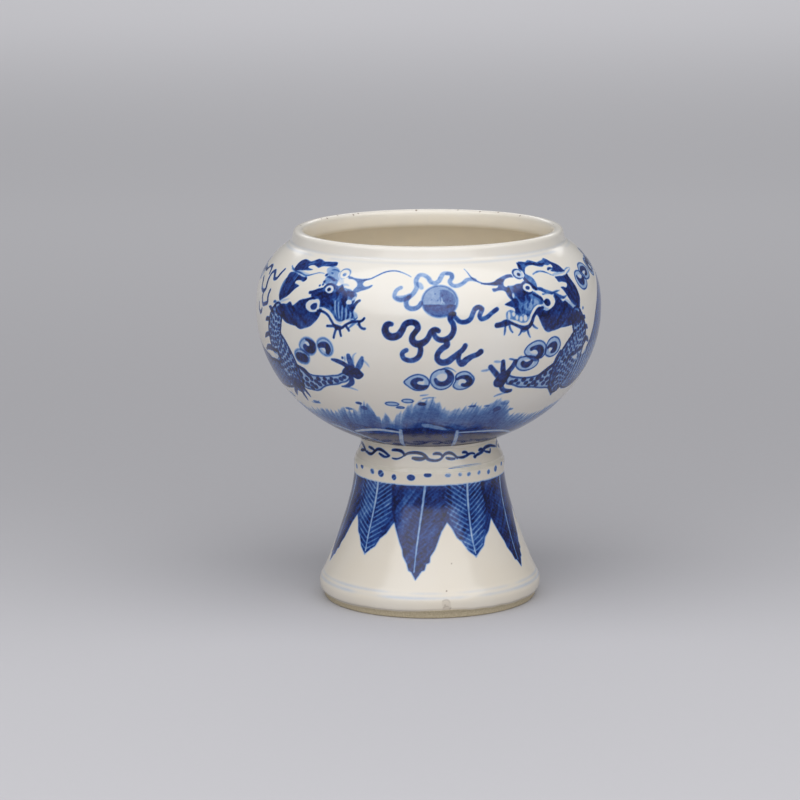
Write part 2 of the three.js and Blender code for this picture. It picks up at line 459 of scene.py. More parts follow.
def paint_leaves(wall):
    """The band of hanging plantain leaves under the dotted band."""
    long_leaf = [
        (-11.2, 0.9), (-10.9, -3), (-10.4, -8), (-8.4, -14.5), (-6.4, -20), (-5.2, -23), (-4.8, -25.2),
        (-3.4, -28), (-2.8, -30.4), (-1.9, -31), (-0.7, -33.8), (0.9, -30.6), (1.7, -30.2), (2.2, -27.9),
        (3.2, -27.3), (3.4, -25.2), (4.8, -22.6), (7.1, -16), (8.9, -13), (9.7, -11.4), (11.0, -8),
        (11.4, -5), (11.2, 0.9),
    ]
    short_leaf = [
        (-8.0, 0.9), (-7.6, -5), (-7.8, -9), (-8.6, -12.4), (-7, -15), (-5.6, -18.5), (-4.2, -20),
        (-2.4, -23.6), (-0.2, -26.3), (1.6, -24), (3.1, -22.6), (4.4, -19.5), (6.4, -17.4), (7.9, -14.5),
        (9.1, -12.5), (8.6, -6), (7.7, 0.9),
    ]
    pitch = wall.half / 5  # ten leaves stand round the stem, long and short by turns
    for i in range(-4, 6):
        middle = i * pitch - 3.3 + (0.3 * math.sin(5 * i) if abs(i) > 1 else 0)
        if i % 2:
            paint_leaf(wall, middle, short_leaf, [(0.2, 0.7), (-0.3, -10), (-0.5, -19), (-0.2, -25)], True)
        else:
            paint_leaf(wall, middle, long_leaf, [(1.7, 0.6), (0.4, -10), (-0.6, -20), (-1.2, -31)], False)


def paint_dots(wall):
    """The row of round dots on the band over the leaves."""
    front = (
        (-31, 5.3, 2.4, 1.8, 0.7), (-24.1, 4.6, 2.3, 2.1, 0.75), (-19.6, 4.4, 2.8, 2.6, 0.85),
        (-13.7, 3.7, 2.0, 2.3, 0.8), (-6.9, 4.0, 3.2, 2.4, 0.8), (-0.6, 5.1, 3.0, 1.7, 0.75),
        (7.0, 4.8, 2.4, 1.5, 0.4), (11.8, 4.8, 1.6, 1.5, 0.45), (15.5, 4.5, 1.7, 1.6, 0.5),
        (20.2, 4.5, 1.6, 1.7, 0.5), (25.4, 4.0, 1.8, 1.9, 0.6), (30.2, 4.3, 2.2, 2.4, 0.65),
        (36, 5.1, 2.2, 1.6, 0.6),
    )
    for x, y, width, height, ink in front:
        dab(wall, x, y, width, height, ink)
    last = front[-1][0]
    gap = 2 * wall.half - (last - front[0][0])
    for i in range(1, 19):
        x = last + gap * i / 19 + 0.5 * math.sin(7 * i)
        dab(wall, x, 4.4 + 0.4 * math.sin(3 * i), 2.1 + 0.5 * math.sin(5 * i), 1.9,
            0.66 + 0.15 * math.sin(2 * i))


def paint_foot(wall):
    """The two pale rings at the foot, the iron specks, and the bare rim it stands on."""
    ring(wall, -39.0, 0.8, 0.13, breaks=((-12, -4), (3, 9), (22, 27)))
    ring(wall, -40.8, 0.9, 0.17, breaks=((-22, -13), (9, 14)))
    specks = ((4.4, -38.1, 0.55), (6.4, -28.0, 0.4), (-33, -20, 0.3), (48, -31, 0.4), (-61, -36, 0.4))
    for x, y, size in specks:
        dab(wall, x, y, size, ink=0.9, layer="iron_and_sheen")
    patch = [(3.2, -41.8), (4.3, -41.4), (5.1, -42.6), (5.3, -44.4), (4.6, -46.6), (3.6, -46.4), (3.2, -44)]
    wash(wall, patch, 0.14, layer="iron_and_sheen")
    for points in (patch[:3], patch[3:5], [(3.4, -44.4), (4.2, -43.9), (4.9, -44.3)]):
        stroke(wall, points, 0.5, 0.34, layer="iron_and_sheen")
    for x, y in ((3.8, -43.4), (4.6, -45.6)):
        dab(wall, x, y, 0.5, ink=0.5, layer="iron_and_sheen")
    stroke(wall, [(7.4, 6.0), (8.0, 6.2), (8.7, 6.1)], 0.5, 0.5, layer="iron_and_sheen")
    ripple = 0.4 * np.sin(3 * wall.angle + 1) + 0.2 * np.sin(8 * wall.angle)
    high = wall.height[:, None] - GLAZE_EDGE - ripple[None]
    high = high + 0.5 * (round_noise(wall, wall.x[None], 0 * wall.x[None], 0.5, 1) - 0.5)
    shown = wall.radius[:, None] > FOOT_HOLLOW
    wall.layers["bare"][:] = np.where(shown, soft(high, 0.5), 0)
    stain_and_light = np.clip(1 - np.abs(high - 0.3) / 0.5, 0, 1) * 0.24
    wall.lay(np.ix_(np.arange(len(wall.y)), np.arange(wall.columns)), np.where(shown, stain_and_light, 0), "iron_and_sheen")


# Painting on the neck ring

def paint_scroll(wall):
    """A loose running scroll round the neck."""
    front = (
        (0.9, [(-42, 5.8), (-40, 6.2), (-37, 6.0), (-35, 5.6), (-33, 4.8), (-31.5, 4.2)]),
        (1.1, [(-37.5, 4.0), (-35.5, 4.2), (-33, 4.6)]),
        (0.9, [(-30.5, 6.3), (-28.5, 6.2), (-27, 6.0), (-25.8, 5.5)]),
        (1.1, [(-31, 4.4), (-29, 4.0), (-27, 4.2), (-25.6, 5.3), (-24.5, 6.2), (-22.5, 6.5), (-20.5, 6.1),
               (-18.5, 5.3), (-17.2, 4.7)]),
        (0.9, [(-22.6, 5.0), (-21, 4.5), (-19.5, 4.1), (-17.5, 4.4)]),
        (1.1, [(-16, 7.0), (-14.5, 7.2), (-12.5, 7.1), (-11, 6.4), (-10.3, 5.6)]),
        (0.6, [(-15.5, 4.0), (-13.5, 3.9), (-11.5, 4.6), (-10.4, 5.4)]),
        (1.1, [(-10.4, 5.4), (-9, 6.2), (-7, 6.6), (-4.5, 6.6), (-2.5, 6.1), (-1.3, 5.2), (-0.6, 4.4),
               (1, 3.9), (3, 3.8), (4.6, 4.3), (5.5, 5.2)]),
        (1.4, [(-6.6, 4.6), (-5, 4.4), (-3, 4.4), (-1.6, 4.8)]),
        (1.0, [(1.8, 6.2), (3.2, 6.4), (4.8, 6.0), (5.4, 5.2)]),
        (1.0, [(5.5, 5.2), (6.6, 6.1), (8.4, 6.4), (10, 5.8), (11, 4.9), (11.5, 4.2)]),
        (1.0, [(7, 4.6), (8.6, 4.2), (10.4, 4.1)]),
        (0.9, [(11.5, 4.6), (13.5, 4.3), (15.4, 4.6), (17, 5.2), (18.5, 5.4), (20, 5.0)]),
        (1.0, [(14.4, 6.1), (15.6, 6.1), (16.6, 5.5)]),
        (1.1, [(19.9, 3.9), (21, 4.4), (23, 4.8), (25, 5.4), (26.5, 6.2), (29, 6.5), (31.5, 6.4),
               (34, 5.8), (36, 5.4)]),
        (1.0, [(22.8, 5.9), (24, 6.2), (25.2, 6.0)]),
        (0.9, [(26, 5.2), (28, 4.5), (29.6, 4.3), (30.5, 5.2)]),
    )
    for width, points in front:
        stroke(wall, points, width * 1.08, 0.96, tip=0.7, tail=0.7)
    dab(wall, 19.8, 3.9, 1.5, 1.4, 0.8)
    stroke(wall, [(7.5, 0.4), (9, 0.7), (12, 0.9), (16, 1.0), (22, 0.9)], 0.6, 0.6)
    start, waves = 37.0, 7
    wide = (2 * wall.half - 42 - start) / waves
    for i in range(waves):
        x = start + wide * i
        for width, points in (
            (1.1, [(0, 5.0), (0.18, 6.2), (0.4, 6.5), (0.58, 5.6), (0.7, 4.4), (0.85, 3.9), (1, 4.8)]),
            (1.3, [(0.22, 4.6), (0.34, 4.3), (0.5, 4.6)]),
            (0.9, [(0.78, 6.1), (0.9, 6.4), (1, 5.6)]),
        ):
            stroke(wall, [(x + u * wide, y) for u, y in points], width, 0.84, tip=0.7, tail=0.7)


# Painting on the bowl

def paint_pearl(wall):
    """The round pearl that the two dragons chase. Its upper half is painted paler and greyer and its lower
    half darker below a straight edge, as a painted reflection of the panel overhead.
    """
    dab(wall, 3.4, 13.2, 12.7, 11.6, 0.38, edge=0.4, line=0.8)
    # Painted reflection: a faint iron tint greys the upper half, as the panel's reflection would
    dab(wall, 3.4, 14.2, 12, 9.6, 0.1, layer="iron_and_sheen")
    wash(wall, [(4.2, 17.4), (7.4, 16.4), (9.2, 13.6), (8.8, 11.9), (5.6, 11.6), (4.0, 12.6)], 0.42,
         lean=0.2)
    # Painted reflection: the lower half is darker below a straight edge, where the panel's reflection ends
    wash(wall, [(-2.6, 11.7), (9.3, 11.7), (8.6, 9.8), (6.4, 8.1), (3.4, 7.6), (0.4, 8.1), (-1.8, 9.8)],
         0.6, lean=1.5, sharp=True)
    strokes(wall, 0.7, 0.6, [(-2.4, 11.6), (0, 11.5), (3, 11.6), (4.6, 11.6)], [(6.4, 11.6), (8.8, 11.6)])
    for x, y in ((3.6, 17.2), (4.4, 15.2), (1.6, 15.8), (6, 15.6), (2.6, 13.4), (7.2, 13.2), (0.4, 13.6)):
        dab(wall, x, y, 0.5, ink=0.4)
    dab(wall, 6.4, 11.0, 1.1, 0.9, 0.5)
    strokes(wall, 0.5, -0.6, [(3.9, 14.4), (4.2, 13.2), (3.9, 12.2)], [(4.2, 13), (5.2, 12.2)])


def paint_flames(wall):
    """The flames that stream from the pearl, drawn as loose ribbons with round ends."""
    thin = (
        (1.75, 0.42, ((-11.5, 18), (-13.3, 16.5), (-13.5, 14.5), (-11.5, 13.3), (-8, 14.5), (-6.5, 16),
                      (-5.5, 18), (-5.8, 21.5), (-4.3, 23.5), (-2.5, 23.2), (-1, 22), (0, 20.5),
                      (1.5, 20), (3, 20.8), (4, 22.5), (5, 24), (6.8, 24.3), (8.3, 23.8), (8.5, 22.5),
                      (7.4, 20.5), (8.5, 19), (10.5, 18.9), (12.5, 19.8), (14.5, 21.2), (17.5, 21))),
        (2.2, 0.4, ((-12.2, 14), (-10, 14), (-8, 15))),
        (1.8, 0.6, ((-8, 14.5), (-9, 12.5), (-8.5, 11), (-6.5, 10.3), (-4.5, 11), (-3.5, 12.5))),
        (2.0, 0.35, ((-4.9, 19.6), (-4.2, 19), (-3.6, 18.2))),
        (1.8, 0.35, ((6.6, 23.9), (8.2, 23.6), (8.4, 22.4))),
        (1.8, 0.72, ((7.7, 8.5), (9.3, 7), (10.5, 5.8), (12.5, 5.5), (14.5, 6.5), (15.5, 8.5),
                     (16.5, 10.2), (18, 10.6), (19, 10), (18.5, 8.8), (18, 7.5), (18.5, 6.5), (20.5, 6.8),
                     (22.5, 8.2), (24.8, 9.6))),
        (1.7, 0.6, ((16.4, 10), (18, 10.5), (18.9, 9.8))),
        (1.6, 0.6, ((23.4, 8.8), (24.8, 9.6))),
    )
    for width, ink, points in thin:
        stroke(wall, points, width, ink, tip=0.85, tail=0.85)
    thick = (
        (0.9, ((-13.9, 4.6, 1.7), (-15.4, 4.4, 2.2), (-16.2, 2.6, 2.5), (-15.4, 0.6, 2.6),
               (-13.5, 0, 2.7), (-11.3, 0.7, 2.6), (-10, 2.5, 2.3), (-8.8, 4.8, 2.2), (-7, 5.5, 2.2),
               (-5, 5, 2.2), (-4.3, 3.5, 2.1), (-5.2, 2, 2), (-6.2, 0.5, 2.1), (-6.2, -1, 2.4),
               (-5, -2.2, 2.6), (-3.3, -2.2, 2.6), (-1.5, -1.2, 2.3), (-0.3, 0.5, 2), (0.5, 2.3, 1.9),
               (1.8, 3, 1.9), (3, 2.5, 1.8))),
        (0.88, ((1.5, 1.5, 1.6), (2.5, -0.2, 1.9), (4, -0.8, 2.1), (5.8, -0.6, 2.2), (7.5, 0.5, 2.1),
                (8.5, 2.5, 2), (8.3, 4.8, 1.9), (7.3, 6.5, 2.0), (7.3, 8, 2.1), (8.5, 8.5, 1.8))),
        (0.78, ((-3.5, -2.5, 1.8), (-3.2, -5, 2), (-3.8, -7, 2), (-5.5, -8.3, 2), (-7.5, -8.5, 1.9),
                (-9.3, -7.7, 1.8), (-9.8, -6, 1.7), (-8.3, -4.7, 1.7))),
        (0.84, ((5.8, -1, 2), (6.3, -2.5, 2.2), (4.5, -4, 2.2), (3, -6, 2), (3, -8, 2.1),
                (4.5, -9.2, 2.4), (6.5, -9, 2.6), (8.5, -7.5, 2.3), (10.5, -5.8, 2), (12, -4.5, 1.9),
                (12.9, -3, 1.8))),
        (0.84, ((10.8, -6.5, 1.6), (11, -9, 2), (12, -9.8, 2.5), (13.5, -8.5, 2.5), (15.5, -7.2, 2.1),
                (18, -6.2, 2), (18.8, -5.5, 2.1))),
        (0.6, ((-15.8, 3, 1.8), (-15, 1, 2), (-13.4, 0.2, 2), (-11.6, 0.8, 1.8))),
        (0.55, ((-3.4, -3, 1.5), (-3.2, -5, 1.6), (-3.6, -6, 1.4))),
        (0.6, ((7.6, 8, 1.9), (8.2, 8.5, 1.7))),
        (0.6, ((17.6, -6.4, 1.8), (18.8, -5.5, 2))),
        (0.5, ((5.8, -1.2, 1.8), (6.1, -2.6, 1.8))),
    )
    for ink, points in thick:
        stroke(wall, points, ink=ink)
    strokes(
        wall, 0.62, 0.66,
        [(-28, 20), (-25, 20.7), (-22, 22.5), (-19, 24.3), (-15, 25), (-11, 24), (-8, 22.5)],
        [(25, 19.3), (22, 19.1), (19.5, 19.8), (17.5, 21), (16, 22.5), (15, 24.5), (14, 26)],
    )


def cloud_lobe(wall, outline, comma, ink=0.92, edge=0.8, line=0.5):
    """One curl of a cloud: a drawn round with a pale rim inside it and a dark comma."""
    middle = np.mean(outline, axis=0)
    wash(wall, outline, 0.3, edge=edge, line=line)
    wash(wall, [middle + (np.array(p) - middle) * 0.55 for p in outline], -0.7)
    stroke(wall, comma, ink=ink)


def round_lobe(wall, x, y, size, side=1):
    """A cloud curl of even shape, `size` mm across its half, whose comma opens to one side."""
    turn = np.linspace(0, 2 * math.pi, 11)[:-1]
    outline = [(x + 0.98 * size * math.cos(a), y + 0.82 * size * math.sin(a)) for a in turn]
    comma = [(-0.5, 0.1, 0.3), (-0.2, 0.42, 0.42), (0.25, 0.35, 0.5), (0.42, -0.05, 0.52),
             (0.15, -0.38, 0.4), (-0.2, -0.36, 0.2)]
    cloud_lobe(wall, outline, [(x + side * size * u, y + size * v, w * size) for u, v, w in comma])


def paint_front_clouds(wall):
    """The cloud under the pearl, and those that the dragons reach through."""
    cloud_lobe(
        wall,
        [(-9.3, -17.3), (-8, -15.8), (-6, -14.5), (-4, -14), (-2, -14.4), (-0.5, -15.5), (0.3, -17),
         (0, -18.8), (-0.8, -20), (-3, -20.8), (-5.5, -20.6), (-7.5, -19.3)],
        [(-2.6, -16.2, 1.2), (-4.4, -16.2, 1.8), (-5.7, -17.5, 2.3), (-4.9, -18.9, 2.4), (-3, -19.4, 2.2),
         (-0.8, -18.9, 1.2)],
    )
    cloud_lobe(
        wall,
        [(10.3, -14.3), (12, -13.1), (14, -13), (16, -14.2), (17.3, -16), (17, -18), (15.5, -19.6),
         (13, -20.5), (10.8, -20.2), (9.5, -19), (10.2, -16.8)],
        [(10.8, -16, 1), (13, -15.2, 1.6), (15, -15.8, 2.2), (15.7, -17.2, 2.3), (14.8, -18.5, 2),
         (13.1, -18.4, 1.3)],
    )
    cloud_lobe(
        wall,
        [(0.6, -16), (1.2, -13.8), (3, -12.3), (5.2, -11.8), (7.4, -12.4), (9, -14), (9.4, -16),
         (8.6, -18.4), (6.6, -20), (4, -20.3), (1.8, -19)],
        [(2.6, -16, 1.2), (3.5, -17.4, 1.9), (5.3, -17.9, 2.2), (7, -17.3, 2.3), (8, -15.7, 2.2),
         (7.7, -13.8, 1.7), (6.3, -12.6, 0.9)],
    )
    stroke(wall, [(4.5, -12), (6.5, -11.3), (8.7, -12), (10, -13)], 0.6, 0.65)
    cloud_lobe(
        wall,
        [(-53.2, -6.9), (-51.9, -4.7), (-49.8, -3.5), (-47.2, -3.5), (-45.1, -4.9), (-44.6, -6.9),
         (-45.5, -8.6), (-47.6, -9.7), (-50.6, -9.2)],
        [(-50, -7, 2.4), (-48.6, -7.8, 2.7), (-46.8, -7.4, 3.1), (-46.2, -5.8, 3), (-47.4, -4.7, 1.8),
         (-49.4, -4.1, 0.8)],
        0.95, 0.4, 0.9,
    )
    cloud_lobe(
        wall,
        [(-43.8, -4.2), (-42.6, -3), (-40.9, -2.5), (-38.8, -3), (-37.3, -4.6), (-36.9, -6.8),
         (-37.8, -8.4), (-39.7, -9.1), (-41.8, -8.5), (-43.3, -6.8)],
        [(-43, -5.7, 1.6), (-41.6, -5.1, 2.2), (-39.8, -5.2, 2.5), (-39, -6.4, 2.5), (-39.3, -7.8, 1.6)],
        0.95, 0.4, 0.9,
    )
    cloud_lobe(
        wall,
        [(-56.4, -9.8), (-54.7, -8.6), (-52.1, -8.3), (-49.8, -9.1), (-48.6, -10.5), (-49.1, -12.2),
         (-50.4, -13.4), (-52.9, -13.8), (-55.5, -13.1), (-56.6, -11.5)],
        [(-54.4, -11.3, 3.4), (-52.6, -11.4, 3.8), (-50.9, -11.4, 3.2)],
        0.96, 0.4, 0.9,
    )
    cloud_lobe(
        wall,
        [(34.2, -9.6), (33.8, -12), (35.4, -13.6), (38.4, -14.3), (41.4, -13.8), (43.6, -12.4),
         (43.9, -10.8), (42, -9.4), (38, -8.6)],
        [(36.6, -11.2, 1.9), (37.8, -12, 2.4), (39.3, -11.9, 2.4), (40.6, -10.9, 1.6)],
        0.94,
    )
    wash(wall, [(38, -8.6), (40, -8.8), (42.6, -9.4), (43.6, -11), (41.6, -11), (39.6, -10)], 0.55)
    cloud_lobe(
        wall,
        [(36.6, -6.8), (37.6, -5), (39.6, -3.8), (42.4, -3.2), (45, -4), (46.6, -5.8), (46.8, -8),
         (45.4, -9.8), (41, -9.4), (38, -8.6)],
        [(39.7, -6.1, 1.5), (41.6, -5.7, 1.7), (43.6, -6.3, 2.7), (44.4, -8, 2.9), (43.2, -9.4, 2)],
        0.94,
    )
    cloud_lobe(
        wall,
        [(46.6, -6), (48, -3.4), (50.4, -2.7), (53, -3.8), (54.3, -6), (53.6, -8.4), (51.6, -9.8),
         (49, -10), (46.8, -8.8)],
        [(47.6, -6.4, 1.1), (49.4, -5.6, 1.9), (51, -5.9, 2.7), (51.3, -7.3, 2.5), (50, -8.2, 1.4)],
        0.94,
    )
    cloud_lobe(
        wall,
        [(68, 16), (69, 18.2), (71.5, 19.3), (74.6, 18.8), (76.8, 16.6), (76.6, 13.8), (74.4, 12.2),
         (71, 12.2), (68.8, 13.8)],
        [(70, 17.2, 1.2), (70.8, 15.4, 2.2), (72.6, 14.7, 2.6), (74.6, 15.9, 1.8)],
    )
    cloud_lobe(
        wall,
        [(74.4, 18.6), (76, 20.8), (79.4, 21.6), (83, 20.6), (84.6, 18.4), (83, 16), (79.4, 15),
         (75.8, 15.8)],
        [(76.4, 18.7, 1.4), (79, 19.3, 1.9), (81.6, 18.5, 2.2), (80.4, 17.2, 1.6), (78.2, 16.7, 0.8)],
    )
    round_lobe(wall, 90, 18.4, 4.4, -1)
    for points in (
        [(-72, 19.5), (-73, 17.5), (-74, 15.5), (-76, 15), (-78, 16.8), (-79.5, 17.7), (-81.3, 16.8),
         (-81.8, 14.5), (-81.3, 12), (-80.8, 10.5), (-82.5, 9.3), (-85, 9.3), (-87, 10.3), (-88, 12),
         (-90, 13.5)],
        [(-75.8, 10.5), (-76.5, 8), (-76.2, 6), (-78.5, 5), (-81, 4.5), (-82.5, 6), (-82.3, 9)],
        [(-87, 4), (-85.5, 1.5), (-83.5, 1), (-82, 2.5)],
        [(-84, 16), (-86, 18.5), (-88.5, 18.5), (-91, 16.5), (-94, 17)],
    ):
        stroke(wall, points, 1.5, 0.86, tip=0.8, tail=0.8)


def paint_left_mane(wall):
    """The horn and the blown mane of the dragon at the left."""
    wash(
        wall,
        [(-65.3, 20.8), (-65.6, 22.5), (-65.2, 24.6), (-63.8, 25.7), (-61, 25.7), (-58, 25.6),
         (-56.6, 26.4), (-55, 27.3), (-53, 27.2), (-51, 26.6), (-47, 26.8), (-43, 26.6), (-42.6, 25.4),
         (-44, 24.7), (-47, 24.5), (-50, 24), (-51.3, 23.2), (-52.6, 23.6), (-55, 24.1), (-56.8, 23.6),
         (-57.6, 22.8), (-56, 22.4), (-53.8, 22), (-54.6, 21.7), (-58, 21.2), (-61, 20.8)],
        0.76, lean=1.2,
    )
    wash(wall, [(-65.3, 21), (-65.5, 24), (-64, 25.5), (-60, 25.4), (-58.4, 23.6), (-57, 22.4),
                (-58.4, 21.4), (-62, 20.9)], 0.55)
    wash(wall, [(-56, 26.4), (-54, 27), (-52, 26.4), (-51, 24), (-52.6, 23.7), (-55, 24.4)], 0.4)
    wash(
        wall,
        [(-66.3, 19.2), (-64.5, 19.6), (-60, 19.1), (-56.5, 18.6), (-54.6, 18.7), (-54, 18), (-55, 16.8),
         (-57.5, 17), (-59.6, 16.4), (-59.8, 15.7), (-58, 15.3), (-56.6, 14.8), (-57.6, 14.1),
         (-59, 12.8), (-60.6, 11.2), (-62.5, 9.8), (-64.5, 8.8), (-66.2, 8.1), (-67.3, 9.5), (-67.2, 12),
         (-66.6, 15)],
        0.84, lean=0.3,
    )
    wash(wall, [(-66.6, 17), (-63, 17.4), (-60.4, 15.6), (-59, 14), (-61.4, 11.4), (-64.6, 9.2),
                (-66.6, 9)], 0.5)
    wash(
        wall,
        [(-68.4, 4.2), (-66.2, 6.3), (-64, 7.2), (-61, 7.6), (-59.2, 8.6), (-58.4, 8.3), (-57.6, 7.5),
         (-55.6, 8.6), (-53, 10.2), (-50.5, 10.9), (-48.5, 11.6), (-46.5, 12.4), (-44.6, 13.9), (-43, 13),
         (-42, 10), (-42.3, 7), (-43.4, 4.6), (-45, 2.8), (-47, 1.2), (-50, 0), (-52.5, -0.6), (-55, 0.2),
         (-58, 0.4), (-61, 0.8), (-63.5, 2)],
        0.84, lean=-0.9,
    )
    wash(wall, [(-55, 9), (-51, 10.6), (-48, 11.4), (-45, 10.4), (-44.4, 6), (-46, 2.6), (-50, 1),
                (-52.4, 3), (-54.6, 6)], 0.5)
    wash(wall, [(-50.2, 9), (-49, 10.3), (-46.6, 10.9), (-44.4, 11.2), (-43.4, 10), (-43.9, 7.2),
                (-46, 6.4), (-48.6, 6.6), (-50, 7.6)], -0.92)
    wash(wall, [(-47.8, 8.2), (-46.8, 9.4), (-44.8, 9.6), (-44.6, 8.2), (-45.6, 7.3), (-47.2, 7.3)], 0.85)
    stroke(wall, [(-67, 20.8), (-63, 20.3), (-58, 20), (-54.5, 20)], 1.5, 0.22)
    stroke(wall, [(-68.5, 21.8), (-65, 20.4), (-60, 19.9), (-55, 19.3), (-52, 20.3), (-49, 21.3),
                  (-46.5, 21.2)], 0.7, 0.6)
    stroke(wall, [(-70, 7), (-67, 7.4), (-63, 8.6), (-60, 9.6)], 0.9, 0.22)
    stroke(wall, [(-70.5, 7), (-68.6, 7.4)], 1.1, 0.7)
    strokes(wall, 1.3, 0.9, [(-49.6, 13.2), (-47.4, 13.8), (-45.4, 14.8), (-43.6, 15.6)],
            [(-48, 12.4), (-46, 13), (-43.4, 14)], tail=1)
    for x, y, size in ((-45, 20.8, 1.3), (-44.5, 18, 1.1), (-44.5, 16.9, 1.0), (-45.9, 16.3, 0.9)):
        dab(wall, x, y, size, ink=0.88)


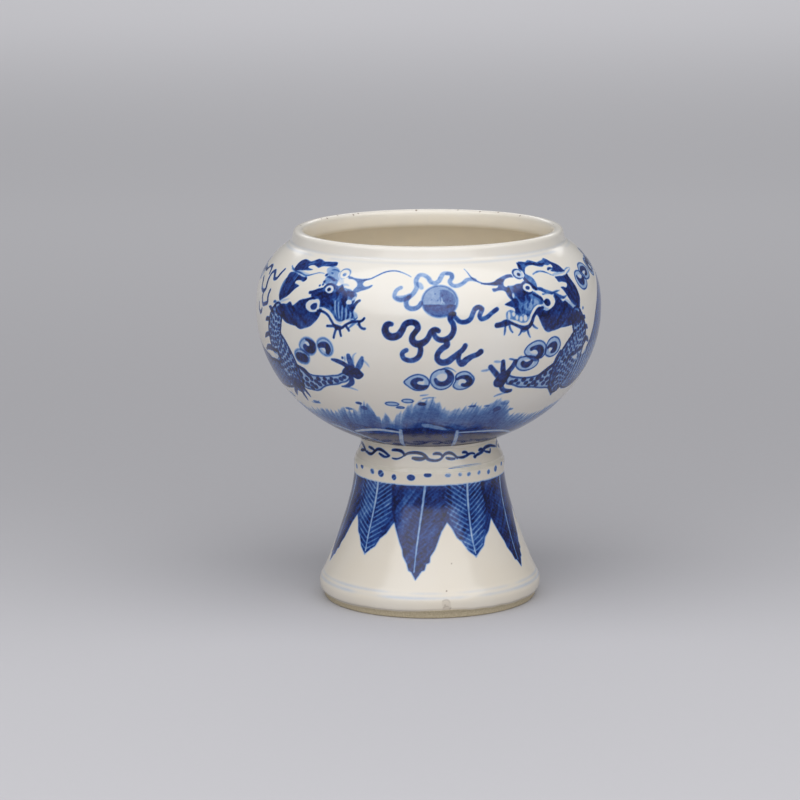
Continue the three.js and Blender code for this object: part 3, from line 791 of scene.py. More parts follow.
def paint_left_head(wall):
    """The face of the dragon at the left, its jaws open towards the pearl."""
    wash(wall, [(-46.5, 23.6), (-44, 24.8), (-41, 24.2), (-39.2, 22.8), (-38.4, 21), (-37.8, 19.4),
                (-39.5, 18.8), (-42, 19.6), (-44.4, 21)], 0.36)
    wash(wall, [(-44.4, 20.4), (-42, 20.4), (-39.8, 19.6), (-38.2, 19), (-38.2, 17.6), (-40.4, 17.4),
                (-43, 17), (-44.4, 17.6)], 0.5, lean=1.2)
    stroke(wall, [(-43.8, 20), (-42, 19.8), (-40, 18.9), (-38.8, 18.9)], 0.8, 0.6)
    strokes(wall, 0.6, 0.5, [(-43.4, 23.2), (-41.4, 23.4), (-39.6, 22.8)], [(-43, 22), (-42, 21.6)])
    wash(
        wall,
        [(-47, 14), (-44, 15.6), (-42.6, 16.9), (-39, 17.6), (-37, 17), (-35.6, 17.8), (-34.6, 16.8),
         (-34, 15.8), (-32, 15.6), (-30, 15.4), (-28.4, 14.6), (-28.2, 13.4), (-29, 11.8), (-28, 9.8),
         (-28.4, 8.4), (-27.2, 7.6), (-26.8, 6), (-28, 5), (-30.4, 5), (-32.4, 4.4), (-33.6, 3.4),
         (-35.4, 4), (-37, 6), (-39.6, 7.8), (-43.4, 8.4), (-43.6, 11)],
        0.66, lean=0.15,
    )
    strokes(
        wall, 1.9, 0.72,
        [(-44, 14), (-41, 12.8), (-38, 13.2), (-36, 15.4), (-35.3, 17)],
        [(-43, 11.6), (-41, 11.6), (-39, 10.4), (-37.6, 9.6)],
        [(-35.4, 16), (-33.6, 14.2), (-32.8, 12.4), (-32.4, 10)],
        [(-31.8, 14.6), (-30.4, 14), (-29.4, 13)], [(-30.4, 10.4), (-29.6, 9.2), (-30.6, 7.8)],
        [(-42.4, 13.4), (-40, 13.2), (-38.4, 14.2)],
        tip=0.5,
    )
    strokes(
        wall, 1.1, 0.6,
        [(-37.4, 15.6), (-36.4, 13.4), (-36.8, 12)], [(-38.6, 11.6), (-37.6, 10.4), (-37, 8.2)],
        [(-33.8, 16.4), (-31.6, 15.6), (-29.6, 15)], [(-42.8, 10), (-40.6, 9.6), (-38.8, 8.8)],
        [(-34.2, 12.2), (-33.4, 10.4), (-33.6, 9)], [(-29, 12), (-29.8, 10.6), (-29.4, 9.6)],
    )
    folds = (
        [(-36.8, 11.4), (-36.4, 8.6), (-35.4, 6)], [(-35.3, 11), (-34.8, 8), (-34.2, 5.4)],
        [(-33.5, 10), (-33.2, 7.4), (-33.2, 4.8)], [(-31.8, 9), (-31.4, 7), (-31.6, 5.2)],
        [(-30, 8), (-29.6, 6.6), (-30, 5.6)],
    )
    for points in folds:
        stroke(wall, points, 0.7, -0.45, tip=0.6)
        stroke(wall, moved(points, 0.75), 0.5, 0.6, tip=0.5)
    wash(wall, [(-42.6, 15.6), (-41.4, 16.8), (-39.6, 16.6), (-38.8, 15.2), (-39.6, 14.1), (-41.2, 13.9),
                (-42.4, 14.5)], -0.95)
    dab(wall, -40.9, 15.3, 1.7, 1.5, 0.95)
    strokes(wall, 0.7, 0.92, [(-43.4, 16.2), (-41.6, 17.4), (-39.8, 17.2), (-38.4, 15.8)],
            [(-42.6, 14.4), (-41, 13.6), (-39.2, 13.9)])
    dab(wall, -36.5, 22, 5.2, 4.6, -0.92)
    stroke(wall, [(-38.9, 22.8), (-37.8, 24.1), (-36.2, 24.3), (-34.6, 23.5), (-34.1, 22), (-34.9, 20.7)],
           0.65, 0.5)
    stroke(wall, [(-38.8, 22.4), (-38.2, 20.6), (-36.8, 20), (-35.6, 20.3)], 0.5, 0.3)
    dab(wall, -36.5, 21.8, 1.6, 1.6, 0.5)
    wash(
        wall,
        [(-34.5, 21.2), (-31, 20.8), (-28, 20.7), (-25.6, 21), (-24.5, 21.2), (-26.5, 19.8), (-27, 18.6),
         (-26, 17.8), (-24.6, 17.9), (-23.4, 18.5), (-22.8, 18.5), (-23.4, 17.5), (-25, 16.6),
         (-27, 15.9), (-28.5, 15.2), (-30.4, 15.4), (-30, 16.6), (-29.2, 17.6), (-29.4, 18.6),
         (-30.4, 19.6), (-32, 20.2), (-34, 20.4)],
        0.62,
    )
    wash(wall, [(-35.8, 18.2), (-35.2, 19.6), (-33, 19.9), (-30.8, 19.3), (-29.6, 18.2), (-30, 16.9),
                (-32, 16.3), (-34, 16.6)], -0.95)
    stroke(wall, [(-35.4, 17.6), (-34, 17.8), (-32.6, 17.5)], 0.9, 0.25)
    stroke(wall, [(-35.8, 18), (-36.6, 19), (-38, 18.8)], 1.6, 0.14)
    wash(wall, [(-32.2, 11.6), (-31.4, 12.3), (-30, 12), (-29.8, 11), (-31, 10.6), (-32, 10.8)], -0.85)
    stroke(wall, [(-29.6, 12.4), (-28.8, 13.2), (-28, 13.2)], 0.9, -0.7)
    stroke(wall, [(-29, 9.4), (-28.3, 10.8), (-27.6, 11.8), (-26.8, 12.3)], 1.2, 0.9, tip=0.8)
    wash(wall, [(-28.4, 9), (-27.4, 8), (-26.8, 6.6), (-27.6, 5.8), (-28.4, 7)], -0.55)
    stroke(wall, [(-43, 8.3), (-40.5, 8.0), (-38, 6.7), (-36.4, 4.9), (-35, 3.9), (-33.6, 3.8),
                  (-32, 4.5), (-30.5, 5.2), (-28.4, 5.5)], 0.85, -0.78)
    strokes(
        wall, 0.95, 0.93,
        [(-44, 7.1), (-41, 6.9), (-39.2, 6.0), (-37.5, 4.2), (-36.4, 2.9), (-35, 2.2), (-33, 2.0),
         (-31.4, 3.2), (-29.6, 4.2), (-27, 4.8), (-25.4, 5.0), (-24.2, 6.1)],
        [(-36.5, 2.3), (-38, 2.2), (-39.2, 2.1)], [(-35.2, 1.6), (-35.8, 0), (-36.3, -1.9)],
        [(-33.8, 1.6), (-33.5, 0), (-33.2, -0.9)], [(-31.4, 2.9), (-30.7, 2.2), (-30, 1.3)],
        [(-26.2, 4.6), (-25.6, 3), (-24.6, 2.4), (-23.8, 2.4)],
        tip=0.95, tail=1,
    )
    wash(wall, [(-36.8, 3), (-35, 3), (-33, 2.6), (-32, 2.4), (-33.6, 1.2), (-35.4, 1)], 0.8)
    strokes(wall, 0.9, 0.5, [(-27.2, 4.4), (-29, 3.2), (-30.4, 1.9)], [(-25.8, 4), (-27, 3.6)])


def paint_right_mane(wall):
    """The horn and the blown mane of the dragon at the right."""
    wash(
        wall,
        [(39.4, 26.4), (40.4, 27.7), (42, 27.6), (44, 27.2), (46, 27.9), (48, 27.3), (50, 26.4),
         (52, 26.7), (54, 27), (56, 27.7), (57.4, 26.8), (58.6, 25.6), (60, 24.7), (61.6, 23.6),
         (62.8, 21.8), (63.4, 20.5), (61, 20.5), (58.5, 20.7), (56.4, 21.1), (54.6, 21.7), (56, 22.2),
         (53.4, 22.3), (54.6, 23), (57.4, 23.3), (57.4, 24.2), (55, 24.2), (53.4, 24.6), (51.6, 24),
         (49.6, 24.3), (47.6, 25.2), (44, 25.2), (42, 24.4), (41, 23), (40, 21.6), (39, 22)],
        0.72, lean=1.2,
    )
    wash(wall, [(56.6, 26), (58.6, 25.2), (60.6, 24), (62.4, 22), (62.6, 20.8), (59, 20.8), (57, 21.6),
                (57.8, 23.4)], 0.6)
    strokes(wall, 1.3, 0.6, [(43.4, 26), (46, 26.2), (48.6, 25.4), (51, 25.2), (54, 25.4)],
            [(39.8, 25.8), (39.6, 24)])
    stroke(wall, [(53.4, 22.3), (54.4, 22.9), (56, 23)], 0.9, 0.8)
    wash(
        wall,
        [(55.2, 19), (57, 19.1), (60, 18.9), (63, 19.2), (63.8, 19.4), (64.2, 17.8), (65, 16), (66, 14),
         (66.6, 12), (67, 9.6), (66.6, 7.8), (66, 6), (64.4, 6.4), (62.4, 7.4), (60.6, 8.8), (59.2, 10.6),
         (58, 12.4), (57, 13.8), (56.2, 14.8), (57.4, 14.9), (59.6, 14.4), (60.4, 15), (60.6, 15.8),
         (59.4, 16.4), (57.8, 16.8), (56, 17), (55.6, 18)],
        0.84, lean=-0.2,
    )
    wash(wall, [(60.6, 17.6), (63.4, 18.4), (65, 15), (66.2, 11), (65.8, 7.6), (62.6, 8.4), (60, 11.4),
                (58.6, 13.8), (61, 14.6)], 0.55)
    wash(
        wall,
        [(41.6, 8.6), (43, 9.2), (44, 8.2), (46, 7.4), (48.6, 7.9), (50.4, 9), (51.4, 10.4), (51.8, 12.4),
         (53.4, 11.6), (54.6, 10.4), (55.6, 9.6), (56.8, 9.8), (58.2, 8.9), (60, 7.6), (62.6, 5.8),
         (64.6, 4.9), (66.4, 4), (68, 2.8), (66.6, 0.4), (64, 0.6), (61, 0.4), (59, 0.3), (56, 0.2),
         (53.4, 0.2), (51.4, -0.2), (49, -0.4), (47, -0.6), (45.4, 0.2), (44, 2), (42.8, 4.2), (41.8, 6),
         (40.6, 6.8)],
        0.84, lean=0.9,
    )
    wash(wall, [(43.6, 7), (46.6, 6.6), (50, 7.4), (52.8, 9.6), (56, 8.6), (60, 6.4), (63, 3.4), (58, 2),
                (52, 1.4), (47, 0.4), (44.6, 2.6)], 0.5)
    strokes(wall, 1.2, 0.26, [(55, 20), (58, 20.2), (62.5, 20)],
            [(66.5, 5.4), (63, 6.4), (60.5, 8), (58.6, 9.4), (57, 10.2)])
    stroke(wall, [(44.3, 21.4), (46, 22), (48, 22.3), (50, 22), (52, 21.2), (53.6, 20.2), (55, 19.6)], 0.75,
           0.6)
    strokes(wall, 0.55, 0.45, [(63, 20.5), (66, 21.4), (68.5, 21.3)],
            [(63.5, 19.4), (66, 20.1), (68.4, 21)])
    dab(wall, 68.5, 5.5, 1.3, 1.2, 0.6)
    strokes(wall, 1.5, 0.7, [(43, 15.5), (45, 15.4), (47, 14.4), (50, 13.5), (52, 13.2)],
            [(51, 10.8), (52, 12.4), (54, 11.6), (56.5, 11), (58.2, 11.4)])
    strokes(wall, 0.8, 0.6, [(45.5, 13.4), (48, 13), (51, 12.9)], [(51, 13.5), (55, 13.8)])
    wash(wall, [(43.6, 10.2), (44.4, 12.2), (47, 13.2), (50, 12.6), (51.2, 10.8), (50.4, 9), (48.4, 8),
                (46, 7.7), (44.4, 8.6)], -0.93)
    wash(wall, [(45.4, 10.6), (46.8, 11.6), (48.4, 10.9), (48.7, 9.6), (47.6, 8.8), (46.2, 9.2)], 0.93)
    wash(wall, [(43.8, 9.4), (44.8, 10.6), (45.8, 8.8), (47.6, 7.9), (45.6, 7.6)], 0.3)


def paint_right_head(wall):
    """The face of the dragon at the right, its jaws open towards the pearl."""
    wash(wall, [(39.2, 23), (40.6, 22.2), (41.6, 21.4), (43, 20.4), (43.9, 18.6), (44, 17), (43.4, 15.4),
                (42.6, 15), (41, 16.5), (40.6, 18), (39, 18.8), (38.6, 21)], 0.56, lean=0.8)
    stroke(wall, [(39.6, 27), (39.3, 25), (38.9, 22.5), (39.2, 20), (40.4, 18.4), (42, 17), (43.2, 15.8)],
           1.3, 0.85, tip=0.5)
    stroke(
        wall,
        [(20, 19.4, 0.6), (23, 19.1, 0.9), (25.4, 19.1, 1.6), (27.4, 19.8, 2.1), (30, 21.2, 1.5),
         (33, 21.8, 1.4), (34.8, 21.5, 1.2), (36, 21.2, 0.8)],
        ink=0.76,
    )
    wash(wall, [(25, 18.8), (26.4, 20.4), (28.6, 20.9), (30, 20.4), (29.2, 19.2), (29.1, 18), (30, 17.4),
                (31, 17.2), (30.4, 15.4), (29.2, 15.6), (28.2, 16.2), (26.6, 16.3), (24, 16.2),
                (23.8, 17), (26, 17.4), (26.6, 18)], 0.74)
    wash(
        wall,
        [(29.2, 16), (30.4, 17.7), (32.4, 17.8), (35, 18), (36.8, 18.4), (38.4, 18), (39, 14.6),
         (41.4, 14.8), (43.4, 13.4), (45.2, 11.6), (44.6, 9.8), (42, 9.7), (40.2, 8.6), (38.6, 6.6),
         (37.6, 6), (36, 7), (33.8, 6.8), (32, 8), (33, 10), (31.2, 12.2), (30, 13.6)],
        0.62, lean=0.3,
    )
    wash(wall, [(33, 14), (33.2, 17.6), (36.6, 18), (37.2, 17), (36.8, 14.6), (36.6, 11.4), (35.2, 11.2),
                (34, 12.8)], 0.72)
    wash(wall, [(34.8, 10), (37, 8.4), (38.6, 8), (40.4, 9.8), (43, 10.4), (42, 12), (39.6, 12),
                (36.8, 10.8)], -0.3)
    wash(wall, [(28, 11), (29.6, 11.8), (31.4, 12.5), (33.2, 13), (34, 11), (33.6, 9), (34.4, 7.4),
                (32.4, 7.8), (31.8, 9.4), (30.6, 10), (29.4, 10.4)], 0.86)
    strokes(wall, 1.6, 0.7, [(37.6, 14), (38.6, 12.8), (38.6, 11)], [(37.4, 16), (36.6, 13.6)],
            [(30.6, 16.6), (31, 14.6), (31.6, 12.8)])
    strokes(wall, 1.0, 0.5, [(35.6, 9.8), (35, 8.4)], [(38.2, 11), (37.4, 9.2)], [(40.4, 11.6), (40, 10)],
            [(32.6, 11.4), (33, 9.6)])
    strokes(wall, 1.1, 0.9, [(41, 13.8), (43, 12.8), (44.6, 11.8), (45.4, 10.4)],
            [(37.2, 18), (39, 18.7), (40.8, 17.8), (42, 16.2), (43.4, 15.3)],
            [(37, 17), (37.4, 15.2), (39, 14.3), (41, 14.8)])
    stroke(wall, [(32.1, 14.6), (32.0, 13.2)], 1.0, -0.75)
    dab(wall, 37, 22.2, 5.4, 4.6, -0.92)
    stroke(wall, [(34.9, 21.6), (35, 23.2), (36.3, 24.2), (38, 24.1), (39, 23.2)], 0.75, 0.86)
    stroke(wall, [(34.9, 21.8), (35.6, 20.8), (37, 20.3), (38.6, 20.6)], 0.75, 0.7)
    dab(wall, 37.2, 22.1, 3.6, 3.2, 0.14)
    dab(wall, 37.3, 22, 1.5, 1.5, 0.93)
    dab(wall, 39.1, 16.5, 3.9, 3.0, -0.94)
    dab(wall, 39.2, 16.4, 1.9, 1.5, 0.94)
    wash(wall, [(28.8, 5), (28.6, 8.4), (30.4, 9), (32.6, 7.8), (35, 6.8), (37.4, 7), (38.8, 6),
                (37.4, 4.2), (35, 3.8), (32, 5)], 0.5)
    teeth = ((29.5, 7, 1.0, 2.8), (31.4, 7.3, 1.3, 1.6), (32.7, 6, 1.1, 1.7), (34.5, 5.5, 1.3, 1.9),
             (36.3, 5.6, 1.6, 2.3))
    for x, y, width, height in teeth:
        dab(wall, x, y, width, height, -0.85)
    stroke(wall, [(28.8, 5.4), (31, 5), (33, 4.1), (35, 3.4), (37, 3.6), (38.4, 5), (39.6, 7.3),
                  (41.4, 8.9), (43.6, 9.6), (45, 9.5)], 0.95, -0.8)
    stroke(
        wall,
        [(24.6, 3.8, 1.9), (26.4, 4, 2.1), (28.4, 4.5, 2.4), (30, 4.3, 1.3), (32, 3.5, 1.1),
         (34, 2.6, 1.3), (36, 2.1, 1.6), (38, 2.5, 1.6), (39.2, 4, 1.5), (39.9, 5.6, 1.4), (41, 7, 1.3),
         (42.6, 8.1, 1.3), (44.6, 8.5, 1)],
        ink=0.92,
    )
    wash(wall, [(34.4, 2.2), (36.4, 2.4), (38, 2), (37, 0.9), (35, 0.5)], 0.65)
    strokes(
        wall, 0.85, 0.68,
        [(27.9, 3.2), (27.8, 1.6), (27.6, 0.2)], [(29.6, 3.4), (30.1, 1.9), (31, 0.8)],
        [(34.6, 1.8), (34.4, 0.6), (33.5, -0.4)], [(37.2, 2), (37.6, 0.2), (38.6, -1.6)],
        [(39.2, 3.4), (40.2, 2.2), (41.8, 1.3)],
        tip=0.6, tail=1,
    )


def scaled_body(wall, spine, ink=0.32, rows=2.1, dark=0.86, joined=False):
    """A stretch of a dragon's body: a pale wash with staggered dark scales between drawn edges.
    The spine's points hold the body's width, and the rows of scales are `rows` mm apart. A joined
    stretch starts flat against another."""
    path = curve_through(wall.placed(spine), 0.6)
    found = Reach(wall, path[:, :2], path[:, 2], wall.bleed)
    start = soft(0.2 - found.along, 0.4) if joined else 1
    cover = soft(found.distance, wall.bleed) * start
    row = found.along / rows + 0.06 * (found.across / rows) ** 2
    turn = np.floor(row)
    side = found.across / (rows * 0.95) + 0.5 * (turn % 2)
    u, v = row - turn - 0.5, side - np.floor(side) - 0.5
    dots = soft((np.hypot(u, v * 0.92) - 0.42) * rows, 0.6)
    load = 0.75 + 0.5 * smooth_noise(found.x[None] / 2.5, found.y / 2.5)
    shade = 1 + 0.5 * np.clip(np.abs(found.across) / path[:, 2].max() * 2 - 0.5, 0, 1)
    wall.lay(found.cells, -cover)
    wall.lay(found.cells, np.clip(cover * ink * load * shade, 0, 1))
    wall.lay(found.cells, np.clip(cover * dots * dark * (0.8 + 0.2 * load), 0, 1))
    wall.lay(found.cells, soft(np.abs(found.distance + 0.4) - 0.4, wall.bleed) * 0.95 * start)


def spikes(wall, *roots):
    """Short spikes along a dragon's back, each drawn from its root to its tip."""
    for root, tip in roots:
        bend = ((root[0] + tip[0]) / 2, (root[1] + tip[1]) / 2 + 0.4)
        stroke(wall, [root, bend, tip], 1.7, 0.92, tip=0.35, tail=1)


def claw(wall, x, y, heading, size):
    """A dragon's foot with spread toes, pointing along `heading` from the palm."""
    knuckle = 3.8
    for turn, long in ((-1.9, 5.2), (-0.85, 7), (-0.15, 7.4), (0.6, 6.8)):
        a = heading + turn
        bend = a + (0.5 if turn > 0 else -0.5)
        knee = away((x, y), size * knuckle, a)
        end = away(knee, size * (long - knuckle), bend)
        stroke(wall, [(x, y, 2.4 * size), (*knee, 2 * size), (*end, 1.1 * size)], ink=0.88)
        stroke(wall, [end, away(end, size * 1.8, bend - 0.6)], 0.8 * size, 0.35)
    dab(wall, x, y, 6 * size, 5 * size, 0.94)


def paint_left_body(wall):
    """The neck, the body and the reaching foreleg of the dragon at the left."""
    scaled_body(wall, [(-112, -4, 15), (-104, -13, 15), (-94, -18.5, 15), (-84, -21, 14.5),
                       (-75, -21.5, 13), (-68, -21, 11)], 0.5, rows=1.9, dark=0.74, joined=True)
    scaled_body(wall, [(-66.5, 4, 7), (-68.3, 0.5, 9.5), (-69.4, -3.4, 10.4), (-68.7, -7.4, 11.4),
                       (-66.4, -11, 14), (-64, -15, 14), (-62.3, -19, 12), (-61.6, -22, 9)])
    leg = [(-59, -20.3), (-57, -15.8), (-53, -16.9), (-50, -18), (-45, -17.9), (-42, -17.6), (-39, -17),
           (-36, -16.4), (-33.6, -15.4), (-31, -16.6), (-33, -18.8), (-35, -19.4), (-37, -20.3),
           (-40, -21), (-43, -21.8), (-45.5, -23), (-47.5, -24.3), (-49.5, -25), (-53, -25.1),
           (-57, -24.8)]
    wash(wall, leg, 0.32, edge=0.75, line=0.62)
    for x, y, size in (
        (-56.3, -18.8, 2), (-53.5, -20.5, 1.8), (-56.5, -21.6, 1.7), (-54.3, -22.9, 2),
        (-51.3, -22.3, 1.7), (-49.7, -23.3, 1.9), (-52.2, -24.3, 1.8), (-48.3, -20.8, 1.7),
        (-46.5, -19.4, 1.8), (-46.8, -21.8, 1.8), (-44, -20.7, 1.8), (-43, -18.9, 1.5), (-40.7, -19.9, 2),
        (-39.6, -18.3, 1.3), (-37.4, -18.9, 1.8), (-35, -17.9, 1.6), (-33.4, -17, 1.4),
        (-50.6, -20.2, 1.4), (-58, -23.6, 1.8),
    ):
        dab(wall, x, y, size * 1.3, size * 1.12, 0.92)
    wash(wall, [(-79, -13.6), (-76, -12.9), (-72, -12.7), (-69.6, -13.5), (-70.4, -14.6), (-74, -15),
                (-78, -15)], -0.85)
    stroke(wall, [(-82, -12.8), (-79, -12), (-75, -11.6), (-71, -11.4), (-68.4, -12.2), (-67.8, -14),
                  (-69.4, -15.6), (-74, -16.2), (-80, -16)], 1.3, 0.88)
    stroke(wall, [(-67.2, -18.6), (-65.9, -21), (-66.6, -24), (-69.4, -26)], 0.9, -0.6)
    spikes(wall, ((-73.6, 0), (-77, -0.9)), ((-74.4, -5.6), (-79.6, -7.8)), ((-70.6, 3.2), (-74, 4.6)),
           ((-74, -10.6), (-81, -12.2)))
    spikes(wall, ((-65.6, -26.8), (-70.4, -31)), ((-61.3, -26.6), (-62, -32)),
           ((-58.6, -25.6), (-57.4, -29.4)))
    wash(wall, [(-66.6, -21), (-64, -21.6), (-61, -21), (-58.6, -22), (-58, -25), (-60, -27.5),
                (-63, -28), (-66, -27), (-67.6, -25)], 0.72)
    stroke(wall, [(-57.8, -15.2, 1.4), (-55, -15.9, 1.6), (-53, -17, 2.3), (-51.4, -18.6, 2),
                  (-50, -19.7, 0.9)], ink=0.93)
    wash(wall, [(-34, -15), (-33.2, -13.6), (-32, -12.6), (-30, -12), (-28.4, -12.6), (-27, -12.8),
                (-25.8, -13.8), (-24.9, -15), (-26, -16.6), (-27.6, -17.3), (-29.4, -16.6),
                (-31.4, -16.2), (-33, -15.8)], 0.95)
    stroke(wall, [(-37.7, -10.3, 0.9), (-35.5, -10.6, 1.7), (-33, -11.4, 1.9), (-31, -12.6, 2)], ink=0.9)
    stroke(wall, [(-30.4, -8.1, 1.8), (-30, -10, 2.3), (-29.3, -12.2, 2.2)], ink=0.72)
    stroke(wall, [(-24.9, -8.4, 1.2), (-25.5, -10, 2.1), (-27, -12.6, 2)], ink=0.68)
    stroke(wall, [(-30.4, -16.8, 1.8), (-30.4, -18.6, 2.2), (-32, -20.2, 1.7), (-35.4, -21.2, 0.7)],
           ink=0.76)
    strokes(wall, 0.8, 0.32, [(-24.6, -9.4), (-23.2, -10.6), (-22.4, -11.8)],
            [(-28.4, -10.6), (-28.2, -7.6), (-27.2, -6.8)], [(-33, -21.4), (-30, -21.8), (-28.6, -22.3)],
            [(-32, -8.6), (-32, -10.4)])
    dab(wall, -33, -9.1, 1.0, 1.1, 0.8)


def paint_right_body(wall):
    """The neck, the body and the reaching foreleg of the dragon at the right."""
    scaled_body(wall, [(110, 10.5, 14), (101, 9, 14), (94, 5.5, 14), (88.5, -0.5, 15), (85.6, -7, 15),
                       (82, -13.5, 15), (76, -18.5, 15), (69, -20.5, 12)], 0.5, rows=1.8, dark=0.72,
                joined=True)
    scaled_body(wall, [(63.4, 3.4, 7), (65, 0.4, 8.6), (66.8, -4, 9.6), (65, -8.4, 13.6), (62, -12.6, 15),
                       (60, -16, 14), (59.5, -20, 11), (61, -24, 7)])
    strokes(wall, 0.9, -0.5, *([(x, -9), (x + 0.5, -16), (x - 0.5, -24)] for x in np.arange(67, 92, 2.6)))
    leg = [(31.4, -15.6), (33, -16.3), (36, -17), (40, -17.5), (44, -17.4), (46.5, -16.9), (48.5, -15.8),
           (50.4, -14.4), (52.6, -14.4), (56, -17), (57, -21), (57, -24.4), (54, -23.7), (50, -23.2),
           (46, -22.4), (42, -21.8), (38, -21.3), (34, -19.8), (31.4, -19)]
    wash(wall, leg, 0.32, edge=0.78, line=0.7)
    for x, y, size in (
        (33.4, -18.8, 1.8), (35.3, -18.2, 1.5), (36.8, -19.5, 1.4), (39, -18.2, 1.8), (40.6, -19.8, 1.6),
        (42.9, -18.6, 1.6), (44.7, -20.2, 2), (46.4, -18.2, 2.3), (42.5, -21, 1.4), (46.6, -21.4, 1.6),
        (50.5, -21.3, 1.7), (48.6, -19.4, 1.7), (51.6, -19.5, 1.8), (49.6, -17.2, 1.6),
        (53.4, -21.6, 1.8), (52.4, -16.6, 1.6),
    ):
        dab(wall, x, y, size * 1.3, size * 1.12, 0.9)
    stroke(wall, [(46.6, -17, 1.2), (48.8, -15.9, 1.8), (51, -14.6, 1.7), (52.8, -13.2, 1.3),
                  (53.4, -11, 1), (55, -8.6, 1)], ink=0.9)
    spikes(wall, ((68, 1.8), (70.2, 1.6)), ((70, -1.6), (72.8, -2.6)), ((71.6, -6), (75.6, -8)))
    stroke(wall, [(72.6, -6.6, 1.2), (71, -9, 1.4), (68.5, -10, 1.5), (65, -10.8, 1.6), (62, -11.4, 1.6),
                  (61, -13, 1.4)], ink=0.86)
    wash(wall, [(64.4, -12.2), (66, -11.6), (68, -12.2), (67.6, -13.1), (65.6, -13.2)], -0.8)
    wash(wall, [(71.4, -9.6), (73.4, -7.6), (74.6, -9), (74.2, -12), (72.2, -12.6)], -0.85)
    stroke(wall, [(55.6, -23.8, 1.2), (58, -25.6, 1.4), (61, -28.4, 0.6)], ink=0.85)
    wash(wall, [(25.5, -18), (26.5, -16), (28.5, -14.2), (30.6, -13.6), (32, -14), (31.8, -16), (31, -18),
                (30.2, -20), (28, -20.5), (26.2, -19.8)], 0.95)
    stroke(wall, [(23.2, -11.6, 1.9), (25, -13.6, 2.1), (27.6, -16.2, 2.4)], ink=0.86)
    stroke(wall, [(28, -9.8, 1.6), (28.3, -12, 2), (29, -15, 2.2)], ink=0.9)
    stroke(wall, [(33.2, -10.2, 1.9), (32.6, -11.8, 2.1), (31, -14, 2.2)], ink=0.88)
    stroke(wall, [(29.2, -19.8, 1.8), (30.6, -21.8, 1.9), (32.6, -22.6, 2), (34.2, -22.6, 1.6)], ink=0.9)
    strokes(wall, 1.0, 0.38, [(20, -13), (22, -12.8), (23.4, -12.4)], [(24.6, -9.6), (27.2, -9.9)],
            [(27.6, -24.6), (29.4, -23.9), (32, -23.6)], [(34, -10.4), (34.6, -9), (35.6, -8.3)])
    stroke(wall, [(30.6, -9), (32.2, -9.4), (33.4, -9.9)], 0.8, 0.6)


def paint_rear_body(wall, side, spine, hips):
    """The rest of a dragon on the unseen back. Its spine is given for the right side, and so
    are the two places where its hind legs leave the body."""
    spine = moved(spine, 0, side)
    scaled_body(wall, spine)
    ridge = curve_through(spine, 5.5)
    for a, b in zip(ridge[1:-4], ridge[2:]):
        ahead = (b - a)[:2] / (np.hypot(*(b - a)[:2]) + TINY)
        out = np.array([-ahead[1], ahead[0]]) * side
        root = a[:2] + out * (a[2] / 2 - 0.3)
        spikes(wall, (tuple(root), tuple(root + out * 3 - ahead * 1.8)))
    for x, y, foot_x, foot_y, heading in hips:
        bend = ((x + foot_x) / 2 + 2.5, (y + foot_y) / 2 + 1.5)
        leg = moved([(x, y, 8), (*bend, 6), (foot_x, foot_y, 4)], 0, side)
        scaled_body(wall, leg, rows=1.9, joined=True)
        claw(wall, side * foot_x, foot_y, heading if side > 0 else math.pi - heading, 0.95)
    x, y = spine[-1][:2]
    for turn in (-0.9, -0.45, 0, 0.45, 0.9):
        a = turn - 0.4
        tuft = [(0, y, 2.4), (*away((0, y), 4, a), 1.8), (*away((0, y), 9, a + 0.4), 0.4)]
        stroke(wall, moved(tuft, x, side), ink=0.88)


def paint_back(wall):
    """Both bodies and tails on the unseen back, with clouds and flames between them."""
    left = [(112, -4, 15), (115, 5, 14.5), (122, 12.5, 14), (131, 14, 13), (139, 8, 12), (144, -2, 11),
            (151, -10, 10), (160, -10.5, 8), (167, -3, 6), (173, 4, 4), (180, 6, 2.6)]
    right = [(110, 10.5, 14), (119, 9, 13.5), (125, 1, 13), (131, -8, 12.5), (140, -12.5, 12),
             (149, -9, 10.5), (154, 0, 9), (159, 8, 7), (167, 11, 5), (174, 6, 3.6), (180, -1, 2.4)]
    paint_rear_body(wall, -1, left, ((118, 2, 106, -21, -1.6), (145, -9, 160, -23, -0.6)))
    paint_rear_body(wall, 1, right, ((122, -2, 108, -18, -2.2), (146, -15, 163, -20, -0.3)))
    clouds = ((-104, 16), (-129, -8), (-150, 17.5), (-187, 20), (-183, -16), (101, 21), (137, 14.5),
              (110, -5), (188, 20), (185, -16))
    for x, y in clouds:
        for u, v, size in ((-6.4, -1.6, 3.7), (6.4, -1.4, 3.7), (0, 0.6, 4.7)):
            round_lobe(wall, x + u, y + v, size, 1 if u < 0 else -1)
    ribbon = [(161, 13.5), (163.5, 16), (167, 15.5), (168.5, 12.5), (171.5, 11.5), (174, 13.5),
              (174.5, 17), (177.5, 18.5), (180, 16.5)]
    flame = [(-13, -1), (-9.5, 1.5), (-6, 0), (-6.5, -3.5), (-3, -5.5), (0.5, -3), (-0.5, 1), (2.5, 4),
             (6, 2), (5.5, -1.5), (8.5, -4), (12.5, -2)]
    for side in (-1, 1):
        middle = side * wall.half
        stroke(wall, moved(ribbon, 0, side), 1.8, 0.84, tip=0.9, tail=0.6)
        stroke(wall, moved(flame, middle), 2.0, 0.84, tip=0.9, tail=0.6)
        dab(wall, middle, 14, 11, 10, 0.42, edge=0.4, line=0.8)
        # Like the front pearl, the lower half is painted darker below a straight edge, a painted reflection
        # edge
        shade = [(-5.6, 12.6), (5.6, 12.6), (4.4, 10), (0, 8.6), (-4.4, 10)]
        wash(wall, moved(shade, middle), 0.38, lean=1.5)


